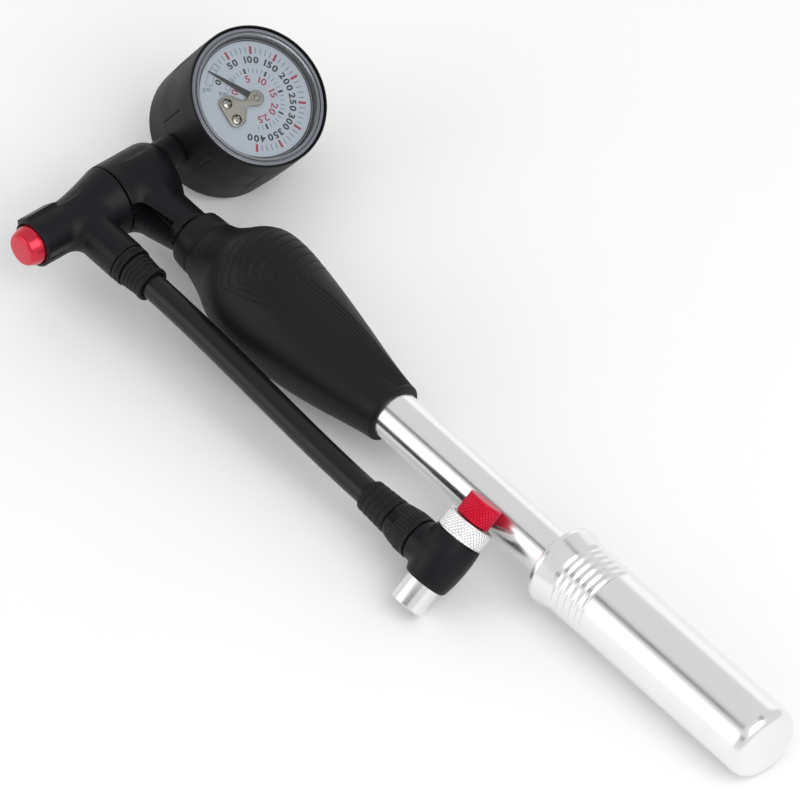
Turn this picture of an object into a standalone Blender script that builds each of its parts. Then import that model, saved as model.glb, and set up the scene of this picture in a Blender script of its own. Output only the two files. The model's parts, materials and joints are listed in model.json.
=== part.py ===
"""Shock suspension pump: a hand pump with a barrel, a pull handle, a gauge and a hose with a valve chuck.

The pieces are placed in the pump's own frame: +X runs along the barrel towards the handle, +Y along the
cross tube towards the gauge, and +Z up. An empty tilts that frame into the pose in which the pump lies on
a table, on the gauge's back rim, the chuck's mouth and the end of the handle. Sizes are in millimetres.
"""

import math

import bmesh
import bpy
from mathutils import Euler, Matrix, Vector

MM = 0.001
GAP = 0.3

# How the pump lies on the table, in degrees about the pump frame's X and Y.
REST_ROLL = -6.35
REST_PITCH = 2.2

# Barrel, along X.
BARREL_R = 7.5
BARREL_BORE_R = 6.3
BARREL_START = 24.5
BARREL_END = 250.0
ROD_R = 3.0
PISTON_START = 37.0
PISTON_LENGTH = 6.3
ROD_END = 264.1

# Handle, along X.
HANDLE_MOUTH = 182.7
HANDLE_END = 272.1
HANDLE_R = 11.6
HANDLE_FLARE_R = 12.7
HANDLE_WAIST_R = 11.7
HANDLE_INNER_R = 10.0
HANDLE_FILLET = 4.0
HANDLE_WALL = 4.4
GROOVE_START = 191.5
GROOVE_PITCH = 2.5
GROOVE_COUNT = 5
GROOVE_DEPTH = 0.75

# Grip sleeve: distance along X, half-width across, height above and depth below the barrel's axis.
GRIP_SECTIONS = (
    (25.0, 8.4, 8.2, 8.4),
    (28.0, 8.8, 8.3, 9.0),
    (31.0, 9.0, 8.5, 9.6),
    (35.0, 9.9, 10.0, 10.6),
    (40.0, 11.8, 14.0, 11.6),
    (45.0, 14.2, 18.6, 12.2),
    (50.0, 16.0, 21.2, 12.8),
    (56.0, 17.0, 20.8, 13.6),
    (63.0, 17.0, 18.6, 14.4),
    (71.0, 16.0, 16.8, 15.0),
    (80.0, 14.6, 14.6, 14.8),
    (89.0, 13.0, 12.4, 13.6),
    (98.0, 11.2, 10.6, 11.8),
    (105.0, 9.9, 9.6, 10.3),
    (109.0, 9.3, 9.2, 9.5),
    (111.4, 9.1, 9.1, 9.1),
)
GRIP_BORE_R = BARREL_R + GAP
GRIP_SIDES = 28
GRIP_CORNER = 2.25

# Head, along the cross axis Y, and its neck along X.
HEAD_R = 10.7
HEAD_START = -10.4
HEAD_END = 9.5
HEAD_ROUNDING = 4.5
STEM_COLLAR_R = 6.3
STEM_COLLAR_END = 22.0
NECK_SECTIONS = (
    (0.0, 9.8, 0.0),
    (8.0, 8.9, -0.9),
    (13.0, 8.05, -1.2),
    (18.0, 7.5, -0.7),
    (22.0, 7.1, -0.3),
    (24.1, 6.9, 0.0),
)
NECK_SHIFT = (0.82, 0.58)
SWIVEL_BORE_R = 6.3
SWIVEL_BORE_END = -1.0
POCKET_LOW = (8.0, -14.0, 1.0)
POCKET_HIGH = (22.4, -3.6, 5.6)

# Hose manifold, along Y.
MANIFOLD_START = -10.8
MANIFOLD_CONE_END = -26.5
MANIFOLD_TUBE_R = 7.25
MANIFOLD_END = -39.9
BUTTON_R = 6.0
BUTTON_END = -44.2
BUTTON_BASE = -36.5
BUTTON_TRAVEL = 3.0
RECESS_FLOOR = BUTTON_BASE + BUTTON_TRAVEL + 0.5
STUB_Y = -22.5
STUB_R = 6.25
STUB_END = 21.3
GLAND_END = 24.4
HOSE_PASSAGE_R = 1.2

# Hose, along X from the manifold to the chuck.
HOSE_R = 3.95
HOSE_START = 12.3
HOSE_END = 147.0
HOSE_BEND_START = 34.0
HOSE_BEND_END = 127.0
HOSE_POINTS = 15
HOSE_BOOT_START = 128.2
HOSE_BOOT_END = 139.6
COLLAR_END = 149.8
SLEEVE_R = HOSE_R + GAP

# Chuck: its centre, and the tilt of its spindle from +Z about X, in degrees.
CHUCK = (159.5, -23.5, -4.15)
CHUCK_TILT = -46.5
MOUTH_R = 5.4
MOUTH_BORE_R = 4.1
MOUTH_END = -16.4
MOUTH_FLOOR = -7.3
ELBOW_LOW = -8.2
ELBOW_HIGH = 7.8
RING_R = 7.45
RING_LOW = 8.1
RING_HIGH = 13.9
KNOB_R = 5.45
KNOB_LOW = 14.2
KNOB_HIGH = 21.0
PIN_R = 1.3
PIN_TIP = -9.4

# Gauge: the centre of its front lip, and the tilt of its axis from +Z about Y, in degrees.
GAUGE = (7.6, 37.0, 20.2)
GAUGE_TILT = 30.0
BOOT_R = 21.4
BOOT_BACK_R = 20.4
BOOT_DEPTH = 32.5
CAVITY_R = 19.6
LIP_BORE_R = 20.9
LIP_FLOOR = -3.3
LENS_R = LIP_BORE_R - GAP
LENS_TOP = -0.3
CASE_R = 19.3
CASE_WALL = 1.2
DIAL_R = 17.9
DIAL_TOP = -2.6
STEM_DEPTH = 20.0
STEM_R = 4.0
NEEDLE_LENGTH = 16.0
NEEDLE_TOP = -1.95
NEEDLE_ZERO = 122.5
BRIDGE_TOP = -1.25
BRIDGE_THICKNESS = 0.4
BRIDGE_REACH = 9.5
BRIDGE_SPREAD = 2.65

# The hose and what hangs on it: left out when the pump is centred.
HOSE_NODES = (
    "hose",
    "hose_boot_chuck",
    "chuck_collar",
    "chuck_elbow",
    "chuck_spindle",
    "spindle_knurled_ring",
    "valve_washer",
    "core_pin",
    "chuck_knob",
)


def clear_scene():
    """Remove every object of the start-up scene."""
    for obj in list(bpy.data.objects):
        bpy.data.objects.remove(obj, do_unlink=True)


def new_collection(name):
    """Make a collection in the scene."""
    collection = bpy.data.collections.new(name)
    bpy.context.scene.collection.children.link(collection)
    return collection


def material(name, colour, roughness, metallic=0.0, alpha=1.0):
    """Make a Principled material."""
    result = bpy.data.materials.new(name)
    result.use_nodes = True
    shader = result.node_tree.nodes["Principled BSDF"]
    shader.inputs["Base Color"].default_value = (*colour, 1.0)
    shader.inputs["Roughness"].default_value = roughness
    shader.inputs["Metallic"].default_value = metallic
    shader.inputs["Alpha"].default_value = alpha
    return result


def empty(name, parent, location=(0, 0, 0), rotation=(0, 0, 0)):
    """Make an empty that carries other objects, with its rotation in degrees."""
    result = bpy.data.objects.new(name, None)
    PARTS.objects.link(result)
    result.parent = parent
    result.location = Vector(location) * MM
    result.rotation_euler = Euler([math.radians(angle) for angle in rotation])
    return result


def add_object(name, data, parent, surface=None):
    """Put a mesh or curve in the scene as a part, or as a cutter where it has no material."""
    result = bpy.data.objects.new(name, data)
    result.parent = parent
    if surface is None:
        CUTTERS.objects.link(result)
        result.hide_render = True
        result.display_type = "WIRE"
    else:
        PARTS.objects.link(result)
        data.materials.append(surface)
    return result


def turned(name, profile, parent, surface=None, closed=False, steps=32):
    """Turn a profile of (radius, height) about the parent's Z axis."""
    points = [(radius * MM, 0.0, height * MM) for radius, height in profile]
    edges = [(index, index + 1) for index in range(len(points) - 1)]
    if closed:
        edges.append((len(points) - 1, 0))
    mesh = bpy.data.meshes.new(name)
    mesh.from_pydata(points, edges, [])
    result = add_object(name, mesh, parent, surface)
    screw = result.modifiers.new("Turn", "SCREW")
    screw.steps = steps
    screw.render_steps = steps
    screw.use_merge_vertices = True
    screw.merge_threshold = 0.00001
    screw.use_smooth_shade = True
    return result


def rod(name, radius, low, high, parent, surface=None, steps=24):
    """Turn a solid cylinder."""
    profile = ((0, high), (radius, high), (radius, low), (0, low))
    return turned(name, profile, parent, surface, steps=steps)


def tube(name, outer, inner, low, high, parent, surface=None, steps=32):
    """Turn a ring or a tube with square ends."""
    profile = ((outer, high), (outer, low), (inner, low), (inner, high))
    return turned(name, profile, parent, surface, closed=True, steps=steps)


def arc(centre_r, centre_z, radius, start, end, count):
    """List points on an arc in a turned profile, with angles in degrees from the radial direction."""
    points = []
    for index in range(count + 1):
        angle = math.radians(start + (end - start) * index / count)
        points.append((centre_r + radius * math.cos(angle), centre_z + radius * math.sin(angle)))
    return points


def torus(name, major, minor, height, parent, surface, major_steps=20, minor_steps=6):
    """Turn a ring of round section."""
    profile = arc(major, height, minor, 0, -360 + 360 / minor_steps, minor_steps - 1)
    return turned(name, profile, parent, surface, closed=True, steps=major_steps)


def box_cutter(name, low, high, parent):
    """Make a box cutter between two corners."""
    mesh = bpy.data.meshes.new(name)
    shape = bmesh.new()
    bmesh.ops.create_cube(shape, size=1.0)
    size = Vector(high) - Vector(low)
    centre = (Vector(high) + Vector(low)) / 2
    bmesh.ops.scale(shape, vec=size * MM, verts=shape.verts)
    bmesh.ops.translate(shape, vec=centre * MM, verts=shape.verts)
    shape.to_mesh(mesh)
    shape.free()
    return add_object(name, mesh, parent)


def loft(name, rings, parent, surface=None, loop=False):
    """Skin a row of equal-sized point rings, capped at its ends or closed into a loop."""
    mesh = bpy.data.meshes.new(name)
    shape = bmesh.new()
    rows = [[shape.verts.new(Vector(point) * MM) for point in ring] for ring in rings]
    count = len(rows[0])
    pairs = list(zip(rows, rows[1:]))
    if loop:
        pairs.append((rows[-1], rows[0]))
    for row, following in pairs:
        for index in range(count):
            after = (index + 1) % count
            shape.faces.new((row[index], row[after], following[after], following[index]))
    if not loop:
        shape.faces.new(list(reversed(rows[0])))
        shape.faces.new(rows[-1])
    bmesh.ops.recalc_face_normals(shape, faces=shape.faces)
    shape.to_mesh(mesh)
    shape.free()
    mesh.shade_smooth()
    return add_object(name, mesh, parent, surface)


def boolean(target, cutter, operation="DIFFERENCE"):
    """Cut a solid with another, or join them."""
    modifier = target.modifiers.new(cutter.name, "BOOLEAN")
    modifier.object = cutter
    modifier.operation = operation
    modifier.solver = "EXACT"


def wire(name, points, radius, parent, surface, resolution=2):
    """Run a round wire through a row of points."""
    curve = bpy.data.curves.new(name, "CURVE")
    curve.dimensions = "3D"
    curve.bevel_depth = radius * MM
    curve.bevel_resolution = resolution
    curve.use_fill_caps = True
    spline = curve.splines.new("POLY")
    spline.points.add(len(points) - 1)
    for point, place in zip(spline.points, points):
        point.co = (*(Vector(place) * MM), 1.0)
    return add_object(name, curve, parent, surface)


def spring(name, coil_r, wire_r, low, high, turns, parent, surface):
    """Wind a coil spring about the parent's Z axis."""
    steps = turns * 8
    points = []
    for index in range(steps + 1):
        angle = math.tau * index / 8
        height = low + wire_r + (high - low - 2 * wire_r) * index / steps
        points.append((coil_r * math.cos(angle), coil_r * math.sin(angle), height))
    return wire(name, points, wire_r, parent, surface, resolution=0)


def plate(name, outline, top, thickness, parent, surface, holes=()):
    """Cut a flat plate from an outline in the parent's XY plane, with round holes (x, y, radius)."""
    curve = bpy.data.curves.new(name, "CURVE")
    curve.dimensions = "2D"
    curve.fill_mode = "BOTH"
    curve.extrude = thickness / 2 * MM
    outlines = [outline]
    for x, y, radius in holes:
        outlines.append([(x + px, y + py) for px, py in circle(radius, 12)])
    for points in outlines:
        spline = curve.splines.new("POLY")
        spline.points.add(len(points) - 1)
        spline.use_cyclic_u = True
        for point, (x, y) in zip(spline.points, points):
            point.co = (x * MM, y * MM, 0.0, 1.0)
    result = add_object(name, curve, parent, surface)
    result.location.z = (top - thickness / 2) * MM
    return result


def circle(radius, count):
    """List points round a circle."""
    angles = [math.tau * index / count for index in range(count)]
    return [(radius * math.cos(angle), radius * math.sin(angle)) for angle in angles]


def make_barrel():
    """The barrel tube with the bush that guides the rod at its open end."""
    chamfer = 0.4
    profile = [
        (BARREL_R - chamfer, BARREL_END),
        (BARREL_R, BARREL_END - chamfer),
        (BARREL_R, BARREL_START),
        (BARREL_BORE_R, BARREL_START),
        (BARREL_BORE_R, BARREL_END),
    ]
    turned("barrel_tube", profile, barrel_axis, POLISHED, closed=True)
    bush_r = BARREL_BORE_R - GAP
    bush_start = BARREL_END - 15.0
    bore_r = ROD_R + GAP
    flange = BARREL_END + GAP
    bush_end = flange + 1.7
    profile = [
        (BARREL_R, bush_end),
        (BARREL_R, flange),
        (bush_r, flange),
        (bush_r, bush_start),
        (bore_r, bush_start),
        (bore_r, bush_end),
    ]
    turned("barrel_guide_bush", profile, barrel_axis, BLACK_PLASTIC, closed=True)


def make_piston():
    """The piston, its seal and the rod that pulls them."""
    high = PISTON_START + PISTON_LENGTH
    middle = (PISTON_START + high) / 2
    outer = BARREL_BORE_R - 0.4
    groove = 4.3
    half_groove = 1.3
    profile = [
        (0, high),
        (outer, high),
        (outer, middle + half_groove),
        (groove, middle + half_groove),
        (groove, middle - half_groove),
        (outer, middle - half_groove),
        (outer, PISTON_START),
        (0, PISTON_START),
    ]
    turned("piston", profile, handle_axis, BLACK_PLASTIC, steps=32)
    torus("piston_seal", 5.3, 0.7, middle, handle_axis, RUBBER)
    rod("piston_rod", ROD_R, high + GAP, ROD_END, handle_axis, STEEL)


def handle_profile():
    """The outside of the handle from the centre of its end to its mouth, and back up the inside."""
    corner = HANDLE_END - HANDLE_FILLET
    points = [(0, HANDLE_END)]
    points += arc(HANDLE_R - HANDLE_FILLET, corner, HANDLE_FILLET, 90, 0, 5)
    groove_end = GROOVE_START + GROOVE_COUNT * GROOVE_PITCH
    points.append((HANDLE_R, groove_end + 0.6))
    for index in range(GROOVE_COUNT):
        top = groove_end - index * GROOVE_PITCH
        points.append((HANDLE_R + 0.15, top - 0.15 * GROOVE_PITCH))
        points.append((HANDLE_R - GROOVE_DEPTH, top - 0.5 * GROOVE_PITCH))
        points.append((HANDLE_R + 0.15, top - 0.85 * GROOVE_PITCH))
    flare = HANDLE_MOUTH + 3.0
    points.append((HANDLE_WAIST_R, GROOVE_START - 0.8))
    points.append((HANDLE_FLARE_R - 0.25, flare + 1.8))
    points.append((HANDLE_FLARE_R, flare))
    points.append((HANDLE_FLARE_R - 0.3, flare - 1.7))
    points += arc(10.9, HANDLE_MOUTH + 0.9, 0.9, -30, -90, 2)
    points += arc(9.5, HANDLE_MOUTH + 0.9, 0.9, -90, -180, 2)
    points.append((8.6, HANDLE_MOUTH + 1.6))
    points.append((HANDLE_INNER_R, HANDLE_MOUTH + 1.6))
    points.append((HANDLE_INNER_R, HANDLE_END - HANDLE_WALL))
    points.append((0, HANDLE_END - HANDLE_WALL))
    return points


def make_handle():
    """The pull handle: a sleeve over the barrel, the wiper in its mouth and the plug that holds the rod."""
    turned("handle_sleeve", handle_profile(), handle_axis, POLISHED, steps=32)
    fit_r = HANDLE_INNER_R - GAP
    wiper_start = HANDLE_MOUTH + 1.6 + GAP
    tube("handle_wiper", fit_r, BARREL_R + GAP, wiper_start, wiper_start + 5.0, handle_axis, BLACK_PLASTIC)
    plug_high = HANDLE_END - HANDLE_WALL - GAP
    plug_low = plug_high - 10.0
    profile = [
        (0, plug_high),
        (fit_r, plug_high),
        (fit_r, plug_low),
        (ROD_R + GAP, plug_low),
        (ROD_R + GAP, ROD_END + GAP),
        (0, ROD_END + GAP),
    ]
    turned("handle_end_plug", profile, handle_axis, BLACK_PLASTIC)


def grip_ring(x, across, above, below):
    """A point ring of the grip: rounded-square halves of unlike height above and below the axis."""
    ring = []
    for index in range(GRIP_SIDES):
        angle = math.tau * index / GRIP_SIDES
        corners = abs(math.cos(angle)) ** GRIP_CORNER + abs(math.sin(angle)) ** GRIP_CORNER
        swell = corners ** (1 / GRIP_CORNER)
        height = above if math.sin(angle) > 0 else below
        ring.append((x, across * math.cos(angle) / swell, height * math.sin(angle) / swell))
    return ring


def make_grip():
    """The rubber grip over the head's end of the barrel."""
    rings = [grip_ring(*section) for section in GRIP_SECTIONS]
    start = GRIP_SECTIONS[0][0]
    end = GRIP_SECTIONS[-1][0]
    for x in (end, start):
        rings.append([(x, y, z) for y, z in circle(GRIP_BORE_R, GRIP_SIDES)])
    loft("grip_cover", rings, pump, RUBBER, loop=True)


def make_head():
    """The head: cross tube, collar round the gauge's stem, neck with its pocket, and barrel spigot."""
    shoulder = HEAD_R - HEAD_ROUNDING
    profile = [(0, HEAD_END), (shoulder, HEAD_END)]
    profile += arc(shoulder, HEAD_END - HEAD_ROUNDING, HEAD_ROUNDING, 67.5, 0, 4)
    profile += [(HEAD_R, HEAD_START + 0.4), (HEAD_R - 0.4, HEAD_START), (0, HEAD_START)]
    head = turned("head_body", profile, cross_axis, BLACK_PLASTIC)
    rings = []
    for x, radius, shift in NECK_SECTIONS:
        centre = (shift * NECK_SHIFT[0], shift * NECK_SHIFT[1])
        rings.append([(x, centre[0] + y, centre[1] + z) for y, z in circle(radius, 28)])
    boolean(head, loft("neck", rings, pump), "UNION")
    boolean(head, rod("spigot", BARREL_BORE_R - 0.4, 20.0, 33.0, barrel_axis), "UNION")
    boolean(head, rod("stem_collar", STEM_COLLAR_R, 4.0, STEM_COLLAR_END, stem_axis), "UNION")
    boolean(head, rod("boot_clearance", BOOT_R + GAP, -BOOT_DEPTH - 4, 4.0, gauge_axis, steps=32))
    boolean(head, rod("swivel_bore", SWIVEL_BORE_R, HEAD_START - 5, SWIVEL_BORE_END, cross_axis))
    boolean(head, box_cutter("pocket", POCKET_LOW, POCKET_HIGH, pump))
    boolean(head, rod("check_bore", 2.2, -3.0, 40.0, barrel_axis, steps=20))
    boolean(head, rod("stem_bore", STEM_R + GAP, 10.0, 30.0, stem_axis, steps=24))
    boolean(head, rod("stem_passage", 1.2, -4.0, 12.0, stem_axis, steps=12))


def make_check_valve():
    """The ball and spring of the non-return valve in the head's spigot."""
    mesh = bpy.data.meshes.new("check_ball")
    shape = bmesh.new()
    place = Matrix.Translation((0, 0, 25.0 * MM))
    bmesh.ops.create_uvsphere(shape, u_segments=16, v_segments=10, radius=1.7 * MM, matrix=place)
    shape.to_mesh(mesh)
    shape.free()
    mesh.shade_smooth()
    add_object("check_ball", mesh, barrel_axis, STEEL)
    spring("check_spring", 1.4, 0.25, 27.0, 32.5, 4, barrel_axis, STEEL)


def manifold_profile():
    """Half the section of the hose manifold: spigot, flared body, straight tube and the button's recess."""
    spigot_r = SWIVEL_BORE_R - GAP
    points = [(1.5, -1.5), (spigot_r, -1.5), (spigot_r, -4.6), (4.6, -4.6), (4.6, -7.2)]
    points += [(spigot_r, -7.2), (spigot_r, MANIFOLD_START), (HEAD_R - 0.4, MANIFOLD_START)]
    steps = 6
    for index in range(steps + 1):
        share = index / steps
        radius = MANIFOLD_TUBE_R + (HEAD_R - MANIFOLD_TUBE_R) * (1 - share) ** 1.35
        points.append((radius, MANIFOLD_START - 0.4 + (MANIFOLD_CONE_END - MANIFOLD_START) * share))
    recess_r = BUTTON_R + GAP
    points += [(MANIFOLD_TUBE_R, MANIFOLD_END + 0.4), (MANIFOLD_TUBE_R - 0.4, MANIFOLD_END)]
    points += [(recess_r, MANIFOLD_END), (recess_r, RECESS_FLOOR), (3.2, RECESS_FLOOR)]
    points += [(3.2, -20.0), (1.5, -20.0)]
    return points


def make_manifold():
    """The hose manifold, which swivels on the head, with its seal, gland ring and hose sleeve."""
    manifold = turned("hose_manifold", manifold_profile(), manifold_axis, BLACK_PLASTIC, closed=True)
    rounding = 0.5
    stub_root = 5.5
    profile = [(0, STUB_END), (STUB_R - rounding, STUB_END), (STUB_R, STUB_END - rounding)]
    profile += [(STUB_R, stub_root), (0, stub_root)]
    boolean(manifold, turned("stub", profile, stub_axis, steps=24), "UNION")
    boolean(manifold, rod("hose_socket", SLEEVE_R, HOSE_START - GAP, STUB_END + 3, stub_axis))
    boolean(manifold, rod("hose_passage", HOSE_PASSAGE_R, 2.6, HOSE_START + 1, stub_axis, steps=12))
    torus("manifold_seal", 5.45, 0.55, -5.9, manifold_axis, RUBBER)
    tube("hose_gland_ring", 6.1, SLEEVE_R, STUB_END + GAP, GLAND_END, stub_axis, BLACK_PLASTIC)
    start = GLAND_END + GAP
    end = 32.7
    profile = [(5.1, end), (5.35, end - 0.5), (5.9, start + 0.6), (5.5, start)]
    profile += [(SLEEVE_R, start), (SLEEVE_R, end)]
    turned("hose_boot_head", profile, stub_axis, RUBBER, closed=True, steps=24)


def hose_point(x):
    """A point on the hose's centre line, drifting smoothly from the manifold's stub to the chuck."""
    share = min(max((x - HOSE_BEND_START) / (HOSE_BEND_END - HOSE_BEND_START), 0.0), 1.0)
    ease = share * share * (3 - 2 * share)
    return (x, STUB_Y + (CHUCK[1] - STUB_Y) * ease, CHUCK[2] * ease)


def make_hose():
    """The hose with the sleeve and the ribbed swivel collar on its far end."""
    step = (HOSE_END - HOSE_START) / (HOSE_POINTS - 1)
    points = [hose_point(HOSE_START + step * index) for index in range(HOSE_POINTS)]
    wire("hose", points, HOSE_R, manifold_pivot, HOSE_RUBBER, resolution=3)
    low = HOSE_BOOT_START - CHUCK[0]
    high = HOSE_BOOT_END - CHUCK[0]
    profile = [(5.35, high)]
    ribs = 4
    for index in range(ribs):
        top = high - (high - low) * index / ribs
        swell = 5.5 - 0.18 * index
        profile.append((swell, top - 0.6))
        profile.append((swell, top - 2.0))
        profile.append((swell - 0.4, top - 2.6))
    profile += [(SLEEVE_R, low), (SLEEVE_R, high)]
    turned("hose_boot_chuck", profile, swivel_axis, RUBBER, closed=True, steps=24)
    start = high + GAP
    end = COLLAR_END - CHUCK[0]
    profile = [(6.5, end), (6.8, end - 0.4), (6.7, end - 3), (5.5, start)]
    profile += [(SLEEVE_R, start), (SLEEVE_R, end)]
    turned("chuck_collar", profile, swivel_axis, BLACK_PLASTIC, closed=True)


def make_bleed_valve():
    """The bleed button in the manifold's end, with its stem, seal and return spring."""
    rounding = 1.6
    ceiling = BUTTON_END + 3.3
    profile = [(4.6, ceiling), (4.6, BUTTON_BASE), (BUTTON_R, BUTTON_BASE)]
    profile.append((BUTTON_R, MANIFOLD_END - 0.6))
    profile += arc(BUTTON_R - 0.5 - rounding, BUTTON_END + rounding, rounding, 0, -90, 4)
    profile.append((0, BUTTON_END))
    turned("bleed_button", [(0, ceiling)] + profile, button_axis, RED)
    rod("bleed_stem", 1.0, ceiling + GAP, -14.0, button_axis, STEEL, steps=16)
    torus("bleed_seal", 1.9, 0.5, -24.0, button_axis, RUBBER)
    spring("bleed_spring", 3.6, 0.35, ceiling + GAP, RECESS_FLOOR - GAP, 3, button_axis, STEEL)


def elbow_profile():
    """The chuck body: a barrel shape that narrows towards the mouth, bored for the spindle."""
    bore = MOUTH_R + GAP
    points = [(bore, ELBOW_HIGH), (7.45, ELBOW_HIGH), (7.65, ELBOW_HIGH - 0.3)]
    points += [(7.85, ELBOW_HIGH - 4.0), (7.85, -0.3), (7.55, -3.8)]
    points += [(6.95, ELBOW_LOW + 1.0), (6.5, ELBOW_LOW), (bore, ELBOW_LOW)]
    return points


def make_chuck():
    """The chuck: elbow, threaded spindle with its knurled ring, washer, core pin and knob."""
    elbow = turned("chuck_elbow", elbow_profile(), spindle_body_axis, BLACK_PLASTIC, closed=True)
    neck_start = COLLAR_END + GAP - CHUCK[0]
    boolean(elbow, rod("elbow_neck", 6.55, neck_start, -4.0, swivel_axis, steps=24), "UNION")
    boolean(elbow, rod("elbow_bore", MOUTH_R + GAP, -20.0, 20.0, spindle_body_axis, steps=32))
    passage = 2.0
    profile = [
        (MOUTH_R - 0.3, RING_HIGH),
        (MOUTH_R, RING_HIGH - 0.3),
        (MOUTH_R, MOUTH_END + 0.3),
        (MOUTH_R - 0.3, MOUTH_END),
        (MOUTH_BORE_R, MOUTH_END),
        (MOUTH_BORE_R, MOUTH_FLOOR),
        (passage, MOUTH_FLOOR),
        (passage, RING_HIGH),
    ]
    turned("chuck_spindle", profile, spindle_axis, POLISHED, closed=True)
    tube("spindle_knurled_ring", RING_R, MOUTH_R + GAP, RING_LOW, RING_HIGH, spindle_axis, POLISHED)
    washer_high = MOUTH_FLOOR - GAP
    tube("valve_washer", MOUTH_BORE_R - GAP, passage, washer_high - 1.2, washer_high, spindle_axis, RUBBER)
    pin_high = KNOB_LOW + 4.0
    rod("core_pin", PIN_R, PIN_TIP, pin_high, pin_axis, STEEL, steps=20)
    hole = PIN_R + GAP
    profile = [
        (0, KNOB_HIGH),
        (KNOB_R - 0.5, KNOB_HIGH),
        (KNOB_R, KNOB_HIGH - 0.5),
        (KNOB_R, KNOB_LOW),
        (hole, KNOB_LOW),
        (hole, pin_high + GAP),
        (0, pin_high + GAP),
    ]
    turned("chuck_knob", profile, knob_axis, RED)


def make_gauge_body():
    """The gauge's rubber boot, case, stem and Bourdon tube."""
    floor = -BOOT_DEPTH + 2.2
    profile = [(0, floor), (CAVITY_R, floor), (CAVITY_R, LIP_FLOOR), (LIP_BORE_R, LIP_FLOOR)]
    profile += [(LIP_BORE_R, 0), (BOOT_R - 0.2, 0), (BOOT_R, -0.2)]
    profile += [(BOOT_R, -8.0), (BOOT_R - 0.2, -18.0)]
    profile += arc(BOOT_BACK_R - 2.0, -BOOT_DEPTH + 2.0, 2.0, 0, -90, 4)
    profile.append((0, -BOOT_DEPTH))
    boot = turned("gauge_boot", profile, gauge_axis, RUBBER, steps=40)
    boolean(boot, rod("boot_hole", STEM_R + GAP, 5.0, 24.0, stem_axis, steps=24))
    case_floor = floor + GAP
    profile = [(0, case_floor + CASE_WALL), (CASE_R - CASE_WALL, case_floor + CASE_WALL)]
    profile += [(CASE_R - CASE_WALL, -3.5), (CASE_R, -3.5), (CASE_R, case_floor), (0, case_floor)]
    case = turned("gauge_case", profile, gauge_axis, BLACK_PLASTIC, steps=36)
    boolean(case, rod("case_hole", STEM_R + GAP, 5.0, 24.0, stem_axis, steps=24))
    tube("gauge_stem", STEM_R, 1.2, 10.3, 22.0, stem_axis, BRASS, steps=24)
    radius = 13.4
    points = []
    for index in range(17):
        angle = math.radians(-80 + 250 * index / 16)
        points.append((radius * math.cos(angle), radius * math.sin(angle), -STEM_DEPTH + 3.0))
    wire("bourdon_tube", points, 1.2, gauge_axis, BRASS, resolution=1)


def bridge_outline():
    """The bridge plate: a round boss over the hub and two round corners at the screws."""
    slope = 16.0
    points = arc(0, 0, 2.4, slope, 180 - slope, 10)
    points += arc(-BRIDGE_SPREAD, -BRIDGE_REACH, 2.3, 180 - slope, 270, 8)
    points += arc(BRIDGE_SPREAD, -BRIDGE_REACH, 2.3, 270, 360 + slope, 8)
    return points


def make_gauge_face():
    """The bezel, lens, dial, needle and the bridge over the needle's hub."""
    tube("gauge_bezel", CASE_R, DIAL_R + GAP, -3.2, -1.2, gauge_axis, BLACK_PLASTIC, steps=36)
    window_floor = LENS_TOP - 0.6
    rim_floor = LIP_FLOOR + GAP
    profile = [(0, LENS_TOP), (LENS_R, LENS_TOP), (LENS_R, rim_floor)]
    profile += [(CAVITY_R, rim_floor), (CAVITY_R, window_floor), (0, window_floor)]
    turned("gauge_lens", profile, gauge_axis, LENS, steps=40)
    tube("gauge_dial", DIAL_R, 1.0, DIAL_TOP - 0.4, DIAL_TOP, gauge_axis, DIAL, steps=36)
    rod("needle_hub", 0.7, -8.0, NEEDLE_TOP, needle_axis, STEEL, steps=16)
    outline = [(0.35, NEEDLE_LENGTH), (-0.35, NEEDLE_LENGTH), (-1.2, 1.6), (-1.6, 0.0)]
    outline += [(-1.1, -1.2), (1.1, -1.2), (1.6, 0.0), (1.2, 1.6)]
    plate("gauge_needle", outline, NEEDLE_TOP, 0.25, needle_turn, NEEDLE_BLACK, holes=((0, 0, 1.0),))
    screw_r = 1.25
    places = ((BRIDGE_SPREAD, -BRIDGE_REACH), (-BRIDGE_SPREAD, -BRIDGE_REACH))
    holes = [(x, y, screw_r + GAP) for x, y in places]
    plate("gauge_bridge", bridge_outline(), BRIDGE_TOP, BRIDGE_THICKNESS, gauge_axis, STEEL, holes)
    for number, (x, y) in enumerate(places, 1):
        screw = rod(f"bridge_screw_{number}", screw_r, DIAL_TOP + GAP, -1.2, gauge_axis, STEEL, steps=20)
        screw.location = Vector((x, y, 0)) * MM


def stand_on_table():
    """Move the pump so that its own pieces, without the hose and chuck, stand on z = 0 about the origin."""
    corners = []
    bpy.context.view_layer.update()
    depsgraph = bpy.context.evaluated_depsgraph_get()
    for obj in PARTS.objects:
        if obj.type == "EMPTY" or obj.name in HOSE_NODES:
            continue
        shape = obj.evaluated_get(depsgraph)
        mesh = shape.to_mesh()
        corners += [obj.matrix_world @ vert.co for vert in mesh.vertices]
        shape.to_mesh_clear()
    low = [min(corner[axis] for corner in corners) for axis in range(3)]
    high = [max(corner[axis] for corner in corners) for axis in range(3)]
    pump.location = (-(low[0] + high[0]) / 2, -(low[1] + high[1]) / 2, -low[2])


clear_scene()
PARTS = new_collection("shock_pump")
CUTTERS = new_collection("cutters")

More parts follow.
